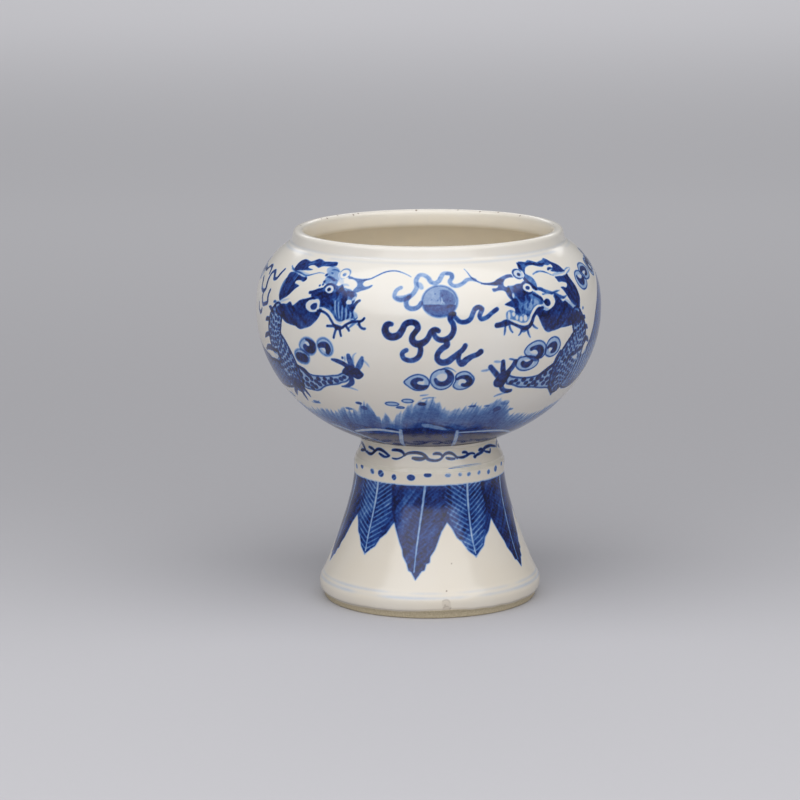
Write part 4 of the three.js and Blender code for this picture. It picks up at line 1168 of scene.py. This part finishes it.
# Tops of the waves, from the back round the front to the back again
CREST = (
    (-203, -34), (-196, -29), (-190, -26.5), (-185, -31), (-178, -35.5), (-170, -34), (-161, -31),
    (-152, -33), (-140, -36.5), (-128, -34), (-117, -30.5), (-108, -34), (-97, -37.5), (-86, -35),
    (-76, -36.5), (-68, -37.8), (-60, -36.5), (-50, -35.5), (-45, -35.3), (-42, -33.8), (-39, -33.3),
    (-33, -33), (-30, -30), (-27, -27.8), (-25.6, -30), (-24, -36), (-21.5, -37.6), (-19.5, -33.5),
    (-18.6, -35), (-17.5, -37), (-15, -34), (-12, -31.5), (-8, -29), (-4, -25.5), (1.5, -24), (3, -26.5),
    (6, -29), (12.5, -31), (17.5, -28.6), (20.5, -28), (24, -30), (27, -29), (31, -26), (34.5, -27.6),
    (37, -31.5), (40, -36), (44, -36.3), (50, -37.5), (60, -39), (68, -36), (77, -34.5), (88, -37),
    (99, -33), (110, -30.5), (121, -34), (133, -37), (146, -34), (157, -31), (168, -34.5), (180, -36),
    (190, -31.5), (197, -30.5), (203, -34),
)


def paint_waves(wall):
    """The sea round the foot of the bowl: streaked washes, with crests and banks left pale."""
    low, high = wall.y.searchsorted([SEA_FOOT, SEA_TOP])
    x = wall.x[None] + np.zeros((high - low, 1)) - wall.lean * LEAN_SHIFT
    y = wall.y[low:high, None] + wall.lean * (LEAN_DROP + np.sin(x / wall.half * math.pi))
    crest = np.array(CREST)
    top = np.interp(wall.x, crest[:, 0] * wall.half / crest[-1, 0], crest[:, 1])[None]
    fan = x - (y + 50) * 0.3
    streak = 0.6 * round_noise(wall, fan, y, 6, 14) + 0.4 * round_noise(wall, fan, y, 2, 9)
    ragged = 3.0 * (round_noise(wall, fan, 0 * y, 4, 1) - 0.5)
    below = top + ragged - y
    rise = np.clip(below / 5, 0, 1)
    cells = np.ix_(np.arange(low, high), np.arange(wall.columns))
    body = soft(-below, 1.6) * (0.36 + 0.26 * rise + 0.14 * np.clip((below - 6) / 8, 0, 1))
    fade = np.clip(1 - below / 10, 0.3, 1)
    wall.lay(cells, np.clip(body * (1 + 0.8 * fade * (streak - 0.5)), 0, 1))
    wall.lay(cells, np.clip(body, 0, 1) * 0.06, "iron_and_sheen")
    deep = np.clip((-48.5 - y) / 2.5, 0, 1)
    flow = round_noise(wall, x, y, 0.5, 1.4)
    wall.lay(cells, deep * (0.66 + 0.3 * flow))
    for points, ink in (
        ([(-13.8, -43.4), (-8, -42.4), (-3, -41.6), (3, -43), (9, -44.4), (15, -44.2), (16.4, -49.6),
          (8, -50), (-6, -50), (-15, -49.8)], 0.62),
        ([(-13.8, -44), (-8, -43), (-4, -42.4), (-2.6, -46), (-3, -49.4), (-10, -49.6), (-14.6, -49.4)],
         0.45),
        ([(-26, -47.6), (-20, -47.2), (-16, -48), (-17.5, -51.5), (-26, -51.5), (-36, -50.4)], 0.6),
        ([(-46, -44.5), (-36, -45.4), (-30, -43.6), (-34, -42.6), (-44, -42.4)], 0.3),
        ([(18.6, -47), (27, -47.4), (34, -48.4), (42, -50.8), (36, -52), (24, -51)], 0.66),
        ([(19, -44.4), (28, -44.5), (38, -45.4), (44, -46.6), (36, -43.6), (26, -42.6)], 0.35),
        ([(-40, -56), (-30, -54), (-20, -55), (-10, -57), (5, -57.5), (16, -57), (30, -56), (40, -57),
          (20, -62), (-20, -62)], 0.4),
    ):
        wash(wall, points, ink, lean=1.3)
    wash(wall, [(-3, -39.4), (0, -38.8), (4, -40), (8, -41.6), (10.5, -43.4), (6, -43), (1, -41.6),
                (-2, -41)], -0.45)
    stroke(wall, [(-1.5, -38), (3, -39.2), (8, -40.8), (12, -42.4), (15, -43.6), (20, -44.6), (27, -45)],
           0.8, 0.6)
    strokes(wall, 1.4, 0.75, [(-22, -43.3), (-19, -43.6), (-15.6, -44.4)],
            [(15, -44.2), (18, -44.6), (21, -45)], tail=0.4)
    for width, lift, points in (
        (1.4, -0.72, [(18, -46), (24, -46.1), (32, -46.4), (40, -47.2), (50, -49.2), (60, -52.5),
                      (70, -56)]),
        (1.8, -0.75, [(-15.5, -46), (-20, -45.3), (-27, -45), (-33, -46), (-39, -47.5), (-45, -49.5)]),
        (2.4, -0.6, [(-62, -47.5), (-55, -48.7), (-50, -50.5), (-45, -53.5), (-40, -57), (-37, -60),
                     (-35, -64)]),
        (1.6, -0.68, [(-14, -44), (-15.5, -50), (-17.5, -56), (-19.5, -62), (-20.5, -66)]),
        (1.5, -0.68, [(16.0, -44.5), (17.3, -50), (19, -56), (21, -62), (22, -66)]),
    ):
        stroke(wall, points, width, lift, tip=0.7, tail=0.7)
    bank = [(1, -44.6), (8, -45.2), (16, -46.2), (24, -49), (30, -52.5), (35, -57)]
    shade = [(2, -47), (10, -47.4), (18, -48.8), (25, -52), (12, -51), (3, -50)]
    for middle in (-170, -112, 92, 143, 196):
        for side in (-1, 1):
            stroke(wall, moved(bank, middle, side), 1.6, -0.68, tip=0.6, tail=0.6)
            wash(wall, moved(shade, middle, side), 0.6, lean=1.3)
        stroke(wall, moved([(0, -45), (1, -52), (3, -59), (4, -65)], middle), 1.5, -0.6, tip=0.7)
    foam = ((-15, -27.7, 5, 1.9), (-8.3, -25.9, 4.2, 1.8), (-11.6, -29.4, 2.8, 1.0), (-78, -32, 5, 1.8))
    for x, y, width, height in foam:
        dab(wall, x, y, width, height, 0.3, edge=0.7, line=0.55)
    for x, y in ((-166, -29), (-124, -29.5), (112, -29), (156, -29)):
        for u, v, width in ((0, 0, 5), (6.4, 1.8, 4.2), (3, -1.9, 2.8)):
            dab(wall, x + u, y + v, width, 0.36 * width, 0.3, edge=0.7, line=0.55)
    spray = ((-2.5, -27.3, 3.2, 1.9, 0.85), (19, -28.9, 3.4, 1.1, 0.6), (25.5, -29.2, 2.4, 1.1, 0.5),
             (-30, -28.6, 2.8, 1.5, 0.75), (-28.3, -31, 2.6, 2.4, 0.6), (-36.3, -32.3, 3.4, 1.5, 0.55),
             (-55, -31.7, 4.4, 1.6, 0.5), (39.3, -32.5, 1.8, 1.3, 0.5), (31.2, -31.4, 3.2, 2.8, 0.6),
             (34, -28.4, 3.6, 2.6, 0.35))
    for x, y, width, height, ink in spray:
        dab(wall, x, y, width, height, ink)
    strokes(wall, 0.8, 0.42, [(-2.2, -24.8), (0, -24.2), (3, -24.2)], [(-3, -23.2), (0, -22.7)],
            [(-13.5, -29.6), (-11, -29)], [(-59, -32.4), (-55, -32), (-52.5, -30.6)])


def paint_inside(wall):
    """The warmer, lighter colour painted down the inside as painted light and shade of the hollow, and the
    specks along the lip.
    """
    top = int(wall.height.argmax())
    depth = wall.y - wall.y[top]
    # Painted light and shade: how far the glaze turns to the warmer, lighter colour, rising with depth below
    # the lip
    stain_and_light = 0.5 * np.clip((depth - 1) / 3, 0, 1) + 0.5 * np.clip((depth - 4) / 18, 0, 1)
    patchy = 0.86 + 0.28 * round_noise(wall, wall.x[None], wall.y[:, None], 0.5, 7)
    wall.layers["stain_and_light"][:] = np.clip(stain_and_light[:, None] * patchy, 0, 1)
    specks = (
        (263, -0.7, 0.7), (238.5, -0.2, 0.7), (234.5, 0.2, 0.8), (226.5, -0.4, 0.7), (219.5, -3.4, 0.6),
        (217.5, 0.5, 0.7), (214.5, 0, 0.6), (185.5, 0.1, 0.8), (166, -0.3, 0.6), (155, 0.2, 0.6),
        (145.5, -0.2, 0.7), (132, 0.3, 0.6), (98, 0, 0.5), (61, -0.3, 0.4), (24, 0.2, 0.35),
        (331, -0.5, 0.4), (305, 0.2, 0.35),
    )
    for angle, offset, size in specks:
        x = ((angle + 180) % 360 - 180) / 180 * wall.half
        dab(wall, x, wall.y[top] + 1.2 + offset, size, ink=0.85, layer="iron_and_sheen")


# Turned pieces

def out_of_round(angle, height, most):
    """How far a thrown wall stands inside its circle, in mm, at an angle from the front."""
    sway = np.sin(2 * angle + 0.6 + 0.02 * height) + 0.6 * np.sin(3 * angle - 0.035 * height)
    ribs = 0.35 * np.sin(height / 1.3 + 1.5 * np.sin(angle))
    return most * (sway + ribs - 1.95) / 3.9


def turned_piece(name, wall, strips, material, wobble):
    """A mesh turned from a wall's rows, with its painting as attributes."""
    closed = abs(wall.radius[0] - wall.radius[-1]) + abs(wall.height[0] - wall.height[-1]) < 0.01
    radius = wall.radius[:, None] + np.zeros(wall.columns)
    sway = out_of_round(wall.angle[None], wall.height[:, None], wobble)
    radius = np.where(radius > 1, radius + sway, radius)
    height = wall.height[:, None] + np.zeros(wall.columns)
    points = np.stack([radius * np.sin(wall.angle), -radius * np.cos(wall.angle), height], axis=2)
    first = 1 if wall.radius[0] < ON_AXIS else 0
    last = len(points) - (1 if closed or wall.radius[-1] < ON_AXIS else 0)
    body = points[first:last].reshape(-1, 3)
    poles = [i for i in (0, len(points) - 1) if wall.radius[i] < ON_AXIS]
    pole_points = np.array([[0, 0, wall.height[i]] for i in poles]).reshape(-1, 3)
    vertices = np.vstack([body, pole_points]) * MM

    lanes = np.arange(wall.columns)
    onward = (lanes + 1) % wall.columns
    lower = np.arange(last - first - (0 if closed else 1))
    upper = (lower + 1) % (last - first)
    a, b = lower[:, None] * wall.columns, upper[:, None] * wall.columns
    quads = np.stack([a + lanes, a + onward, b + onward, b + lanes], axis=2).reshape(-1, 4)
    fans = []
    for i, pole in enumerate(poles):
        centre = np.full(wall.columns, len(body) + i)
        base = 0 if pole == 0 else len(body) - wall.columns
        edge = (base + onward, base + lanes) if pole == 0 else (base + lanes, base + onward)
        fans.append(np.stack([*edge, centre], axis=1))
    fans = np.vstack(fans) if fans else np.zeros((0, 3), int)

    mesh = bpy.data.meshes.new(name)
    mesh.vertices.add(len(vertices))
    mesh.vertices.foreach_set("co", vertices.ravel().astype(np.float32))
    sizes = np.concatenate([np.full(len(quads), 4), np.full(len(fans), 3)])
    mesh.loops.add(int(sizes.sum()))
    mesh.loops.foreach_set("vertex_index", np.concatenate([quads.ravel(), fans.ravel()]).astype(np.int32))
    mesh.polygons.add(len(sizes))
    mesh.polygons.foreach_set("loop_start", (np.cumsum(sizes) - sizes).astype(np.int32))
    mesh.polygons.foreach_set("use_smooth", np.ones(len(sizes), bool))
    map_of(mesh, wall, strips, lower + first, len(fans))
    for layer, field in wall.layers.items():
        values = np.concatenate([field[first:last].ravel(), field[poles, 0]])
        mesh.attributes.new(layer, "FLOAT", "POINT").data.foreach_set("value", values.astype(np.float32))
    mesh.update(calc_edges=True)
    if mesh.validate():
        raise RuntimeError(f"the mesh of {name} isn't sound")
    mesh.materials.append(material)
    piece = bpy.data.objects.new(name, mesh)
    bpy.context.scene.collection.objects.link(piece)
    return piece


def map_of(mesh, wall, strips, rows, fan_count):
    """Lays the turned faces out flat in the map that textures are baked through.

    Each strip is its first row, its last row and the height it takes. It is cut in two
    halves, front over back, so that the painting maps finer."""
    margin = 0.006
    half = wall.columns // 2
    lanes = np.arange(wall.columns)
    u = np.zeros((len(rows), wall.columns, 4))
    v = np.zeros_like(u)
    base = margin
    width = (1 - 2 * margin) / half
    for low, high, tall in strips:
        held = np.flatnonzero((rows >= low) & (rows < high))
        share = (rows[held] - low) / (high - low)
        step = 1 / (high - low)
        rise = np.stack([share, share, share + step, share + step], axis=1) * (tall / 2 - margin)
        for side in (0, 1):
            mine = lanes[lanes // half == side]
            start = margin + (mine % half) * width
            block = np.ix_(held, mine)
            u[block] = np.stack([start, start + width, start + width, start], axis=1)[None]
            v[block] = (rise + base + side * tall / 2)[:, None, :]
        base += tall
    turn = np.arange(fan_count) / max(1, wall.columns) * 2 * math.pi
    fan = np.zeros((fan_count, 3, 2))
    for corner, ahead in ((0, 0), (1, 2 * math.pi / wall.columns)):
        fan[:, corner] = np.stack([np.cos(turn + ahead), np.sin(turn + ahead)], axis=1) * margin * 0.4
    fan += 0.5 * margin
    flat = np.concatenate([np.stack([u.ravel(), v.ravel()], axis=1).ravel(), fan.ravel()])
    mesh.uv_layers.new(name="OFBake").data.foreach_set("uv", flat.astype(np.float32))


# Finishes

COLOURS = {"data_type": "RGBA"}
MULTIPLY = {"operation": "MULTIPLY"}


def add_node(tree, kind, settings=None, **sockets):
    """Adds a node, gives it its settings, and sets or links its sockets by name or by number. A
    node that is linked whole is linked by its first output."""
    node = tree.nodes.new("ShaderNode" + kind)
    for name, value in (settings or {}).items():
        setattr(node, name, value)
    for name, value in sockets.items():
        key = int(name[1:]) if name[0] == "_" else name.replace("_", " ")
        source = value.outputs[0] if isinstance(value, bpy.types.Node) else value
        if isinstance(source, bpy.types.NodeSocket):
            tree.links.new(source, node.inputs[key])
        else:
            node.inputs[key].default_value = source
    return node


def new_finish(name):
    """An empty material, its node tree, and where each point lies on the object."""
    material = bpy.data.materials.new(name)
    material.use_nodes = True
    tree = material.node_tree
    tree.nodes.clear()
    return material, tree, add_node(tree, "TexCoord").outputs["Object"]


def tinted(shade, red, green, blue):
    """A colour with each of its channels scaled."""
    return [c * f for c, f in zip(shade, (red, green, blue, 1))]


def lumps(tree, where, size_mm, detail, roughness, taken, given=(0, 1)):
    """Soft lumps about `size_mm` across. One range of their values is taken and stretched to
    another."""
    scale = 1 / (size_mm * MM)
    noise = add_node(tree, "TexNoise", Vector=where, Scale=scale, Detail=detail, Roughness=roughness)
    ends = {"From_Min": taken[0], "From_Max": taken[1], "To_Min": given[0], "To_Max": given[1]}
    return add_node(tree, "MapRange", Value=noise, **ends)


def painted_porcelain(name, colours, glaze, layers):
    """White hard porcelain under a clear glaze, painted in cobalt before it was glazed.

    To the eye it is a glassy skin with soft-edged blue lying under it, mottled where the pigment heaped,
    with iron specks and a bare, gritty foot rim. Down the inside of the bowl a warmer, lighter colour is
    painted in, standing in for the warm shade and bounced light of the hollow."""
    material, tree, where = new_finish(name)
    held = {layer: add_node(tree, "Attribute", {"attribute_name": layer}).outputs["Fac"] for layer in layers}
    heaps = lumps(tree, where, 1.1, 3, 0.6, (0.3, 0.7), (0.84, 1.12))
    drift = lumps(tree, where, 4.5, 2, 0.5, (0.3, 0.7), (0.92, 1.06))
    mottled = add_node(tree, "Math", MULTIPLY, _0=held["cobalt"], _1=heaps)
    ink = add_node(tree, "Math", MULTIPLY, _0=mottled, _1=drift)

    cloudy = lumps(tree, where, 22, 2, 0.5, (0.35, 0.65), (0, 0.5))
    warmer = tinted(glaze, 0.97, 0.94, 0.89)
    skin = add_node(tree, "Mix", COLOURS, _0=cloudy, _6=glaze, _7=warmer).outputs[2]
    # Painted light and shade: the glaze turns to a warmer, lighter colour down the inside of the bowl
    if "stain_and_light" in layers:
        brightened = colours.glaze_inside_lit
        skin = add_node(tree, "Mix", COLOURS, _0=held["stain_and_light"], _6=skin, _7=brightened).outputs[2]

    steps = (
        (0.0, colours.cobalt_pale), (0.25, colours.cobalt_pale), (0.5, colours.cobalt_wash),
        (0.72, colours.cobalt_full), (0.87, colours.cobalt_deep), (1.0, colours.cobalt_heaped),
    )
    ramp = add_node(tree, "ValToRGB", Fac=ink)
    elements = ramp.color_ramp.elements
    while len(elements) < len(steps):
        elements.new(0.5)
    for element, (spot, shade) in zip(elements, steps):
        element.position = spot
        element.color = shade
    cover = add_node(tree, "MapRange", Value=ink, From_Max=steps[1][0])
    skin = add_node(tree, "Mix", COLOURS, _0=cover, _6=skin, _7=ramp).outputs[2]

    # This layer holds the iron specks, and on the pearl a painted reflection
    if "iron_and_sheen" in layers:
        skin = add_node(tree, "Mix", COLOURS, _0=held["iron_and_sheen"], _6=skin, _7=colours.iron_and_sheen).outputs[2]
    ripple = add_node(tree, "TexNoise", Vector=where, Scale=1 / (5 * MM), Detail=2, Roughness=0.4)
    normal = add_node(tree, "Bump", Strength=1.0, Distance=0.02 * MM, Height=ripple)
    roughness = GLAZE_ROUGHNESS
    if "bare" in layers:
        bare = held["bare"]
        grit = lumps(tree, where, 0.7, 3, 0.7, (0.3, 0.7), (0, 0.7))
        darker = tinted(colours.clay, 0.62, 0.6, 0.56)
        clay = add_node(tree, "Mix", COLOURS, _0=grit, _6=colours.clay, _7=darker).outputs[2]
        skin = add_node(tree, "Mix", COLOURS, _0=bare, _6=skin, _7=clay).outputs[2]
        grains = add_node(tree, "TexNoise", Vector=where, Scale=1 / (0.8 * MM), Detail=3, Roughness=0.7)
        pits = add_node(tree, "Math", MULTIPLY, _0=grains, _1=bare)
        normal = add_node(tree, "Bump", Strength=1.0, Distance=0.15 * MM, Height=pits, Normal=normal)
        roughness = add_node(tree, "MapRange", Value=bare, To_Min=GLAZE_ROUGHNESS, To_Max=CLAY_ROUGHNESS)
    shader = add_node(
        tree, "BsdfPrincipled", Base_Color=skin, Roughness=roughness, IOR=GLASS, Normal=normal
    )
    add_node(tree, "OutputMaterial", Surface=shader)
    return material


def fired_slip(name, colours):
    """Slip squeezed out of a luted joint, wiped to a bead and covered by pooled glaze.

    To the eye it is a thin glassy line, a little greener and darker than the wall beside it."""
    material, tree, where = new_finish(name)
    pools = lumps(tree, where, 3, 2, 0.5, (0.35, 0.65))
    pooled = tinted(colours.glaze_stem, 0.93, 0.94, 0.9)
    skin = add_node(tree, "Mix", COLOURS, _0=pools, _6=colours.glaze_stem, _7=pooled).outputs[2]
    ripple = add_node(tree, "TexNoise", Vector=where, Scale=1 / (2.5 * MM), Detail=2, Roughness=0.4)
    normal = add_node(tree, "Bump", Strength=1.0, Distance=0.04 * MM, Height=ripple)
    shader = add_node(
        tree, "BsdfPrincipled", Base_Color=skin, Roughness=SLIP_ROUGHNESS, IOR=GLASS, Normal=normal
    )
    add_node(tree, "OutputMaterial", Surface=shader)
    return material


def seamless_paper(name, colours):
    """Uncoated background paper in one grey, with faint flecks. To the eye it is flat and soft, with no
    sheen. Light is painted into its colour: it is painted lighter in front of the bowl and far behind it."""
    material, tree, where = new_finish(name)
    flecks = lumps(tree, where, 3, 4, 0.7, (0.3, 0.7))
    darker = tinted(colours.paper, 0.98, 0.98, 0.98)
    paper_and_light = add_node(tree, "Mix", COLOURS, _0=flecks, _6=colours.paper, _7=darker).outputs[2]
    # Painted light: lighter towards the front and far behind, darkest just behind the bowl
    depth = add_node(tree, "SeparateXYZ", Vector=where).outputs["Y"]
    smooth = {"interpolation_type": "SMOOTHSTEP"}
    for far, most in ((-0.15, 0.42), (1.1, 1.0)):
        share = add_node(tree, "MapRange", smooth, Value=depth, From_Min=0.2, From_Max=far, To_Max=most)
        paper_and_light = add_node(tree, "Mix", COLOURS, _0=share, _6=paper_and_light, _7=colours.paper_far_lit).outputs[2]
    shader = add_node(tree, "BsdfPrincipled", Base_Color=paper_and_light, Roughness=0.9, Specular_IOR_Level=0.15)
    add_node(tree, "OutputMaterial", Surface=shader)
    return material


# Pieces

def settings():
    """The sizes and the colours that are set for this scene."""
    return bpy.context.scene.alms_bowl_sizes, bpy.context.scene.alms_bowl_colours


def stand_in(piece, node):
    """Stands a finished piece in for its solid."""
    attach(piece, "root")
    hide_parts(node)


def place_at(outline, height):
    """How far along an outline it last passes a height on its way up."""
    below = np.flatnonzero(outline[:outline[:, 1].argmax(), 1] < height)[-1]
    return float(arc_lengths(outline)[below])


class ALMS_BOWL_OT_stem_foot(Operator):
    """Turns the stem foot, and paints its dots, leaves and rings"""

    bl_idname = "alms_bowl.stem_foot"
    bl_label = "Stem foot"

    def execute(self, context):
        sizes, colours = settings()
        solid = outline_of("stem_foot")
        outline = glazed_outline(solid, sizes.glaze_rounding / MM)
        top = solid[:, 1].max()
        band_foot = solid[(solid[:, 1] < top - 3) & (solid[:, 1] > top / 2)][:, 1].max()
        band = float(np.interp(band_foot, *outline[:int(outline[:, 1].argmax()) + 1, ::-1].T))
        shown = np.arange(len(outline)) <= outline[:, 1].argmax()
        spacing = np.where(shown, sizes.brush_grid * STEM_GRID, sizes.plain_grid) / MM
        zero = place_at(outline, band_foot)
        layers = ("cobalt", "iron_and_sheen", "bare")
        wall = Wall(outline, STEM_COLUMNS, band, zero, spacing, sizes.bleed / MM, layers)
        paint_dots(wall)
        paint_leaves(wall)
        paint_foot(wall)
        rim = int(wall.height.argmax())
        strips = ((0, rim, 0.7), (rim, len(wall.radius), 0.28))
        finish = painted_porcelain("glazed_porcelain_stem", colours, colours.glaze_stem, wall.layers)
        stand_in(turned_piece("painted_stem_foot", wall, strips, finish, sizes.wobble / MM), "stem_foot")
        return {"FINISHED"}


class ALMS_BOWL_OT_neck_ring(Operator):
    """Turns the waisted neck ring, and paints its scroll"""

    bl_idname = "alms_bowl.neck_ring"
    bl_label = "Neck ring"

    def execute(self, context):
        sizes, colours = settings()
        solid = outline_of("neck_ring")
        outline = glazed_outline(solid, sizes.glaze_rounding / MM)
        foot_height = solid[solid[:, 0].argmax(), 1]
        spacing = np.full(len(outline), sizes.brush_grid * STEM_GRID / MM)
        zero = place_at(outline, foot_height + 0.6) - 0.7  # the glaze rounds the foot itself
        wall = Wall(outline, NECK_COLUMNS, STEM_BAND_RADIUS, zero, spacing, sizes.bleed / MM, ("cobalt",))
        paint_scroll(wall)
        rim = int(wall.height.argmax())
        strips = ((0, rim, 0.6), (rim, len(wall.radius), 0.38))
        finish = painted_porcelain("glazed_porcelain_neck", colours, colours.glaze_stem, wall.layers)
        stand_in(turned_piece("painted_neck_ring", wall, strips, finish, sizes.wobble / MM), "neck_ring")
        return {"FINISHED"}


class ALMS_BOWL_OT_slip_rings(Operator):
    """Wipes a bead of slip round each of the two luted joints"""

    bl_idname = "alms_bowl.slip_rings"
    bl_label = "Slip rings"

    def execute(self, context):
        sizes, colours = settings()
        finish = fired_slip("fired_luting_slip", colours)
        reach = sizes.bead / MM
        joints = (("lower_slip_ring", "stem_foot", "neck_ring"), ("upper_slip_ring", "neck_ring", "bowl"))
        for node, below, above in joints:
            solid = outline_of(node)
            inner, outer = solid[:, 0].min(), solid[:, 0].max()
            low, high = solid[:, 1].min(), solid[:, 1].max()
            under = self.skin(below, low - reach * 0.3, sizes)
            over = self.skin(above, high + reach * 0.6, sizes)
            middle = np.array([outer, (low + high) / 2]) * 0.55 + (under + over) / 2 * 0.45
            front = curve_through([under, middle, over], 0.15)
            behind = outer - BEAD_DEPTH
            corners = [[inner, low], [behind, low], front, [behind, high], [inner, high], [inner, low]]
            outline = evenly(np.vstack(corners))
            spacing = np.full(len(outline), 0.2)
            wall = Wall(outline, SLIP_COLUMNS, outer, 0, spacing, sizes.bleed / MM, ())
            strips = ((0, len(wall.radius), 0.98),)
            stand_in(turned_piece(f"fired_{node}", wall, strips, finish, sizes.wobble / MM), node)
        return {"FINISHED"}

    def skin(self, node, height, sizes):
        """The point of a glazed piece's outside at a height, and a hair proud of it."""
        outline = glazed_outline(outline_of(node), sizes.glaze_rounding / MM)
        near = outline[np.abs(outline[:, 1] - height) < 0.15]
        return np.array([near[:, 0].max() + 0.05, height])


class ALMS_BOWL_OT_bowl(Operator):
    """Turns the bowl, and paints its dragons, pearl, clouds and sea"""

    bl_idname = "alms_bowl.bowl"
    bl_label = "Bowl"

    def execute(self, context):
        sizes, colours = settings()
        solid = outline_of("bowl")
        outline = glazed_outline(solid, sizes.glaze_rounding / MM)
        belly = solid[solid[:, 0].argmax()]
        arc = arc_lengths(outline)
        zero = place_at(outline, belly[1])
        lip = arc[outline[:, 1].argmax()]
        painted = (arc > zero + SEAT) & (arc < lip + LIP_REACH)
        spacing = np.where(painted, sizes.brush_grid, sizes.plain_grid) / MM
        # The third layer holds the painted light and shade down the inside of the bowl
        layers = ("cobalt", "iron_and_sheen", "stain_and_light")
        wall = Wall(outline, BOWL_COLUMNS, belly[0], zero, spacing, sizes.bleed / MM, layers, BOWL_LEAN)
        paint_waves(wall)
        paint_back(wall)
        paint_left_body(wall)
        paint_right_body(wall)
        paint_left_mane(wall)
        paint_left_head(wall)
        paint_right_mane(wall)
        paint_right_head(wall)
        paint_front_clouds(wall)
        paint_flames(wall)
        paint_pearl(wall)
        ring(wall, 28.6, 1.0, 0.1, breaks=((-60, -48), (70, 85)))
        ring(wall, 30.4, 0.8, 0.08, breaks=((20, 32),))
        paint_inside(wall)
        foot, rim = np.searchsorted(wall.y, [SEA_FOOT, lip - zero])
        strips = ((0, foot, 0.05), (foot, rim, 0.68), (rim, len(wall.radius), 0.25))
        finish = painted_porcelain("glazed_porcelain_bowl", colours, colours.glaze, wall.layers)
        stand_in(turned_piece("painted_bowl", wall, strips, finish, sizes.wobble / MM), "bowl")
        return {"FINISHED"}


# Stage

class ALMS_BOWL_OT_stage(Operator):
    """Rolls out the paper, hangs the soft panel and sets up the camera"""

    bl_idname = "alms_bowl.stage"
    bl_label = "Stage"

    def execute(self, context):
        sizes, colours = settings()
        self.paper(sizes, colours)
        self.light()
        self.camera()
        context.scene.view_settings.view_transform = "Standard"
        return {"FINISHED"}

    def paper(self, sizes, colours):
        """A wide round floor of paper, which fills the picture up to its top."""
        angles = np.arange(96) / 96 * 2 * math.pi
        points = [(sizes.floor_reach * math.sin(a), -sizes.floor_reach * math.cos(a), 0) for a in angles]
        mesh = bpy.data.meshes.new("paper")
        mesh.from_pydata(points, [], [tuple(range(len(points)))])
        mesh.materials.append(seamless_paper("seamless_paper", colours))
        floor = bpy.data.objects.new("paper_floor", mesh)
        bpy.context.scene.collection.objects.link(floor)

    def light(self):
        """A soft panel overhead and in front, one over the paper behind, and an even room."""
        for name, place, tilt, wide, deep, glow in (
            ("soft_panel", (0, -1.0, 1.03), 22, 3.0, 2.4, PANEL_GLOW),
            ("back_panel", (0, 2.9, 1.5), 0, 3.0, 1.6, BACK_GLOW),
        ):
            lamp = bpy.data.lights.new(name, "AREA")
            lamp.shape = "RECTANGLE"
            lamp.size, lamp.size_y = wide, deep
            lamp.energy = glow * math.pi * wide * deep
            panel = bpy.data.objects.new(name, lamp)
            panel.location = place
            panel.rotation_euler = (math.radians(tilt), 0, 0)
            bpy.context.scene.collection.objects.link(panel)
        world = bpy.data.worlds.new("even_room")
        world.use_nodes = True
        world.node_tree.nodes["Background"].inputs["Color"].default_value = (0.95, 0.97, 1.0, 1)
        world.node_tree.nodes["Background"].inputs["Strength"].default_value = ROOM_GLOW
        bpy.context.scene.world = world

    def camera(self):
        """A long lens a little over the rim, turned so that the bowl stands right of the middle."""
        lens = bpy.data.cameras.new("camera")
        lens.sensor_width = SENSOR
        lens.lens = LENS
        camera = bpy.data.objects.new("camera", lens)
        camera.location = CAMERA_PLACE
        turn = Euler((0, 0, math.radians(CAMERA_TURN))).to_matrix()
        tilt = Euler((math.radians(90 - CAMERA_TILT), 0, 0)).to_matrix()
        roll = Euler((0, 0, math.radians(CAMERA_ROLL))).to_matrix()
        camera.rotation_euler = (turn @ tilt @ roll).to_euler()
        bpy.context.scene.collection.objects.link(camera)
        bpy.context.scene.camera = camera


# Panel

OPERATORS = (
    ALMS_BOWL_OT_stem_foot, ALMS_BOWL_OT_neck_ring, ALMS_BOWL_OT_slip_rings, ALMS_BOWL_OT_bowl,
    ALMS_BOWL_OT_stage,
)


class ALMS_BOWL_PT_sidebar(Panel):
    """Lists the bowl's pieces, sizes and colours"""

    bl_label = "Alms Bowl"
    bl_idname = "ALMS_BOWL_PT_sidebar"
    bl_space_type = "VIEW_3D"
    bl_region_type = "UI"
    bl_category = "Alms Bowl"

    def draw(self, context):
        for operator in OPERATORS:
            self.layout.operator(operator.bl_idname)
        for group in settings():
            column = self.layout.column()
            for name in group.__annotations__:
                column.prop(group, name)


CLASSES = (AlmsBowlSizes, AlmsBowlColours, *OPERATORS, ALMS_BOWL_PT_sidebar)


def register():
    for item in CLASSES:
        bpy.utils.register_class(item)
    bpy.types.Scene.alms_bowl_sizes = PointerProperty(type=AlmsBowlSizes)
    bpy.types.Scene.alms_bowl_colours = PointerProperty(type=AlmsBowlColours)


def unregister():
    del bpy.types.Scene.alms_bowl_colours
    del bpy.types.Scene.alms_bowl_sizes
    for item in reversed(CLASSES):
        bpy.utils.unregister_class(item)


def main():
    register()
    bpy.ops.alms_bowl.stage()
    bpy.ops.alms_bowl.stem_foot()
    bpy.ops.alms_bowl.neck_ring()
    bpy.ops.alms_bowl.slip_rings()
    bpy.ops.alms_bowl.bowl()
    bpy.context.view_layer.update()


if __name__ == "__main__":
    main()
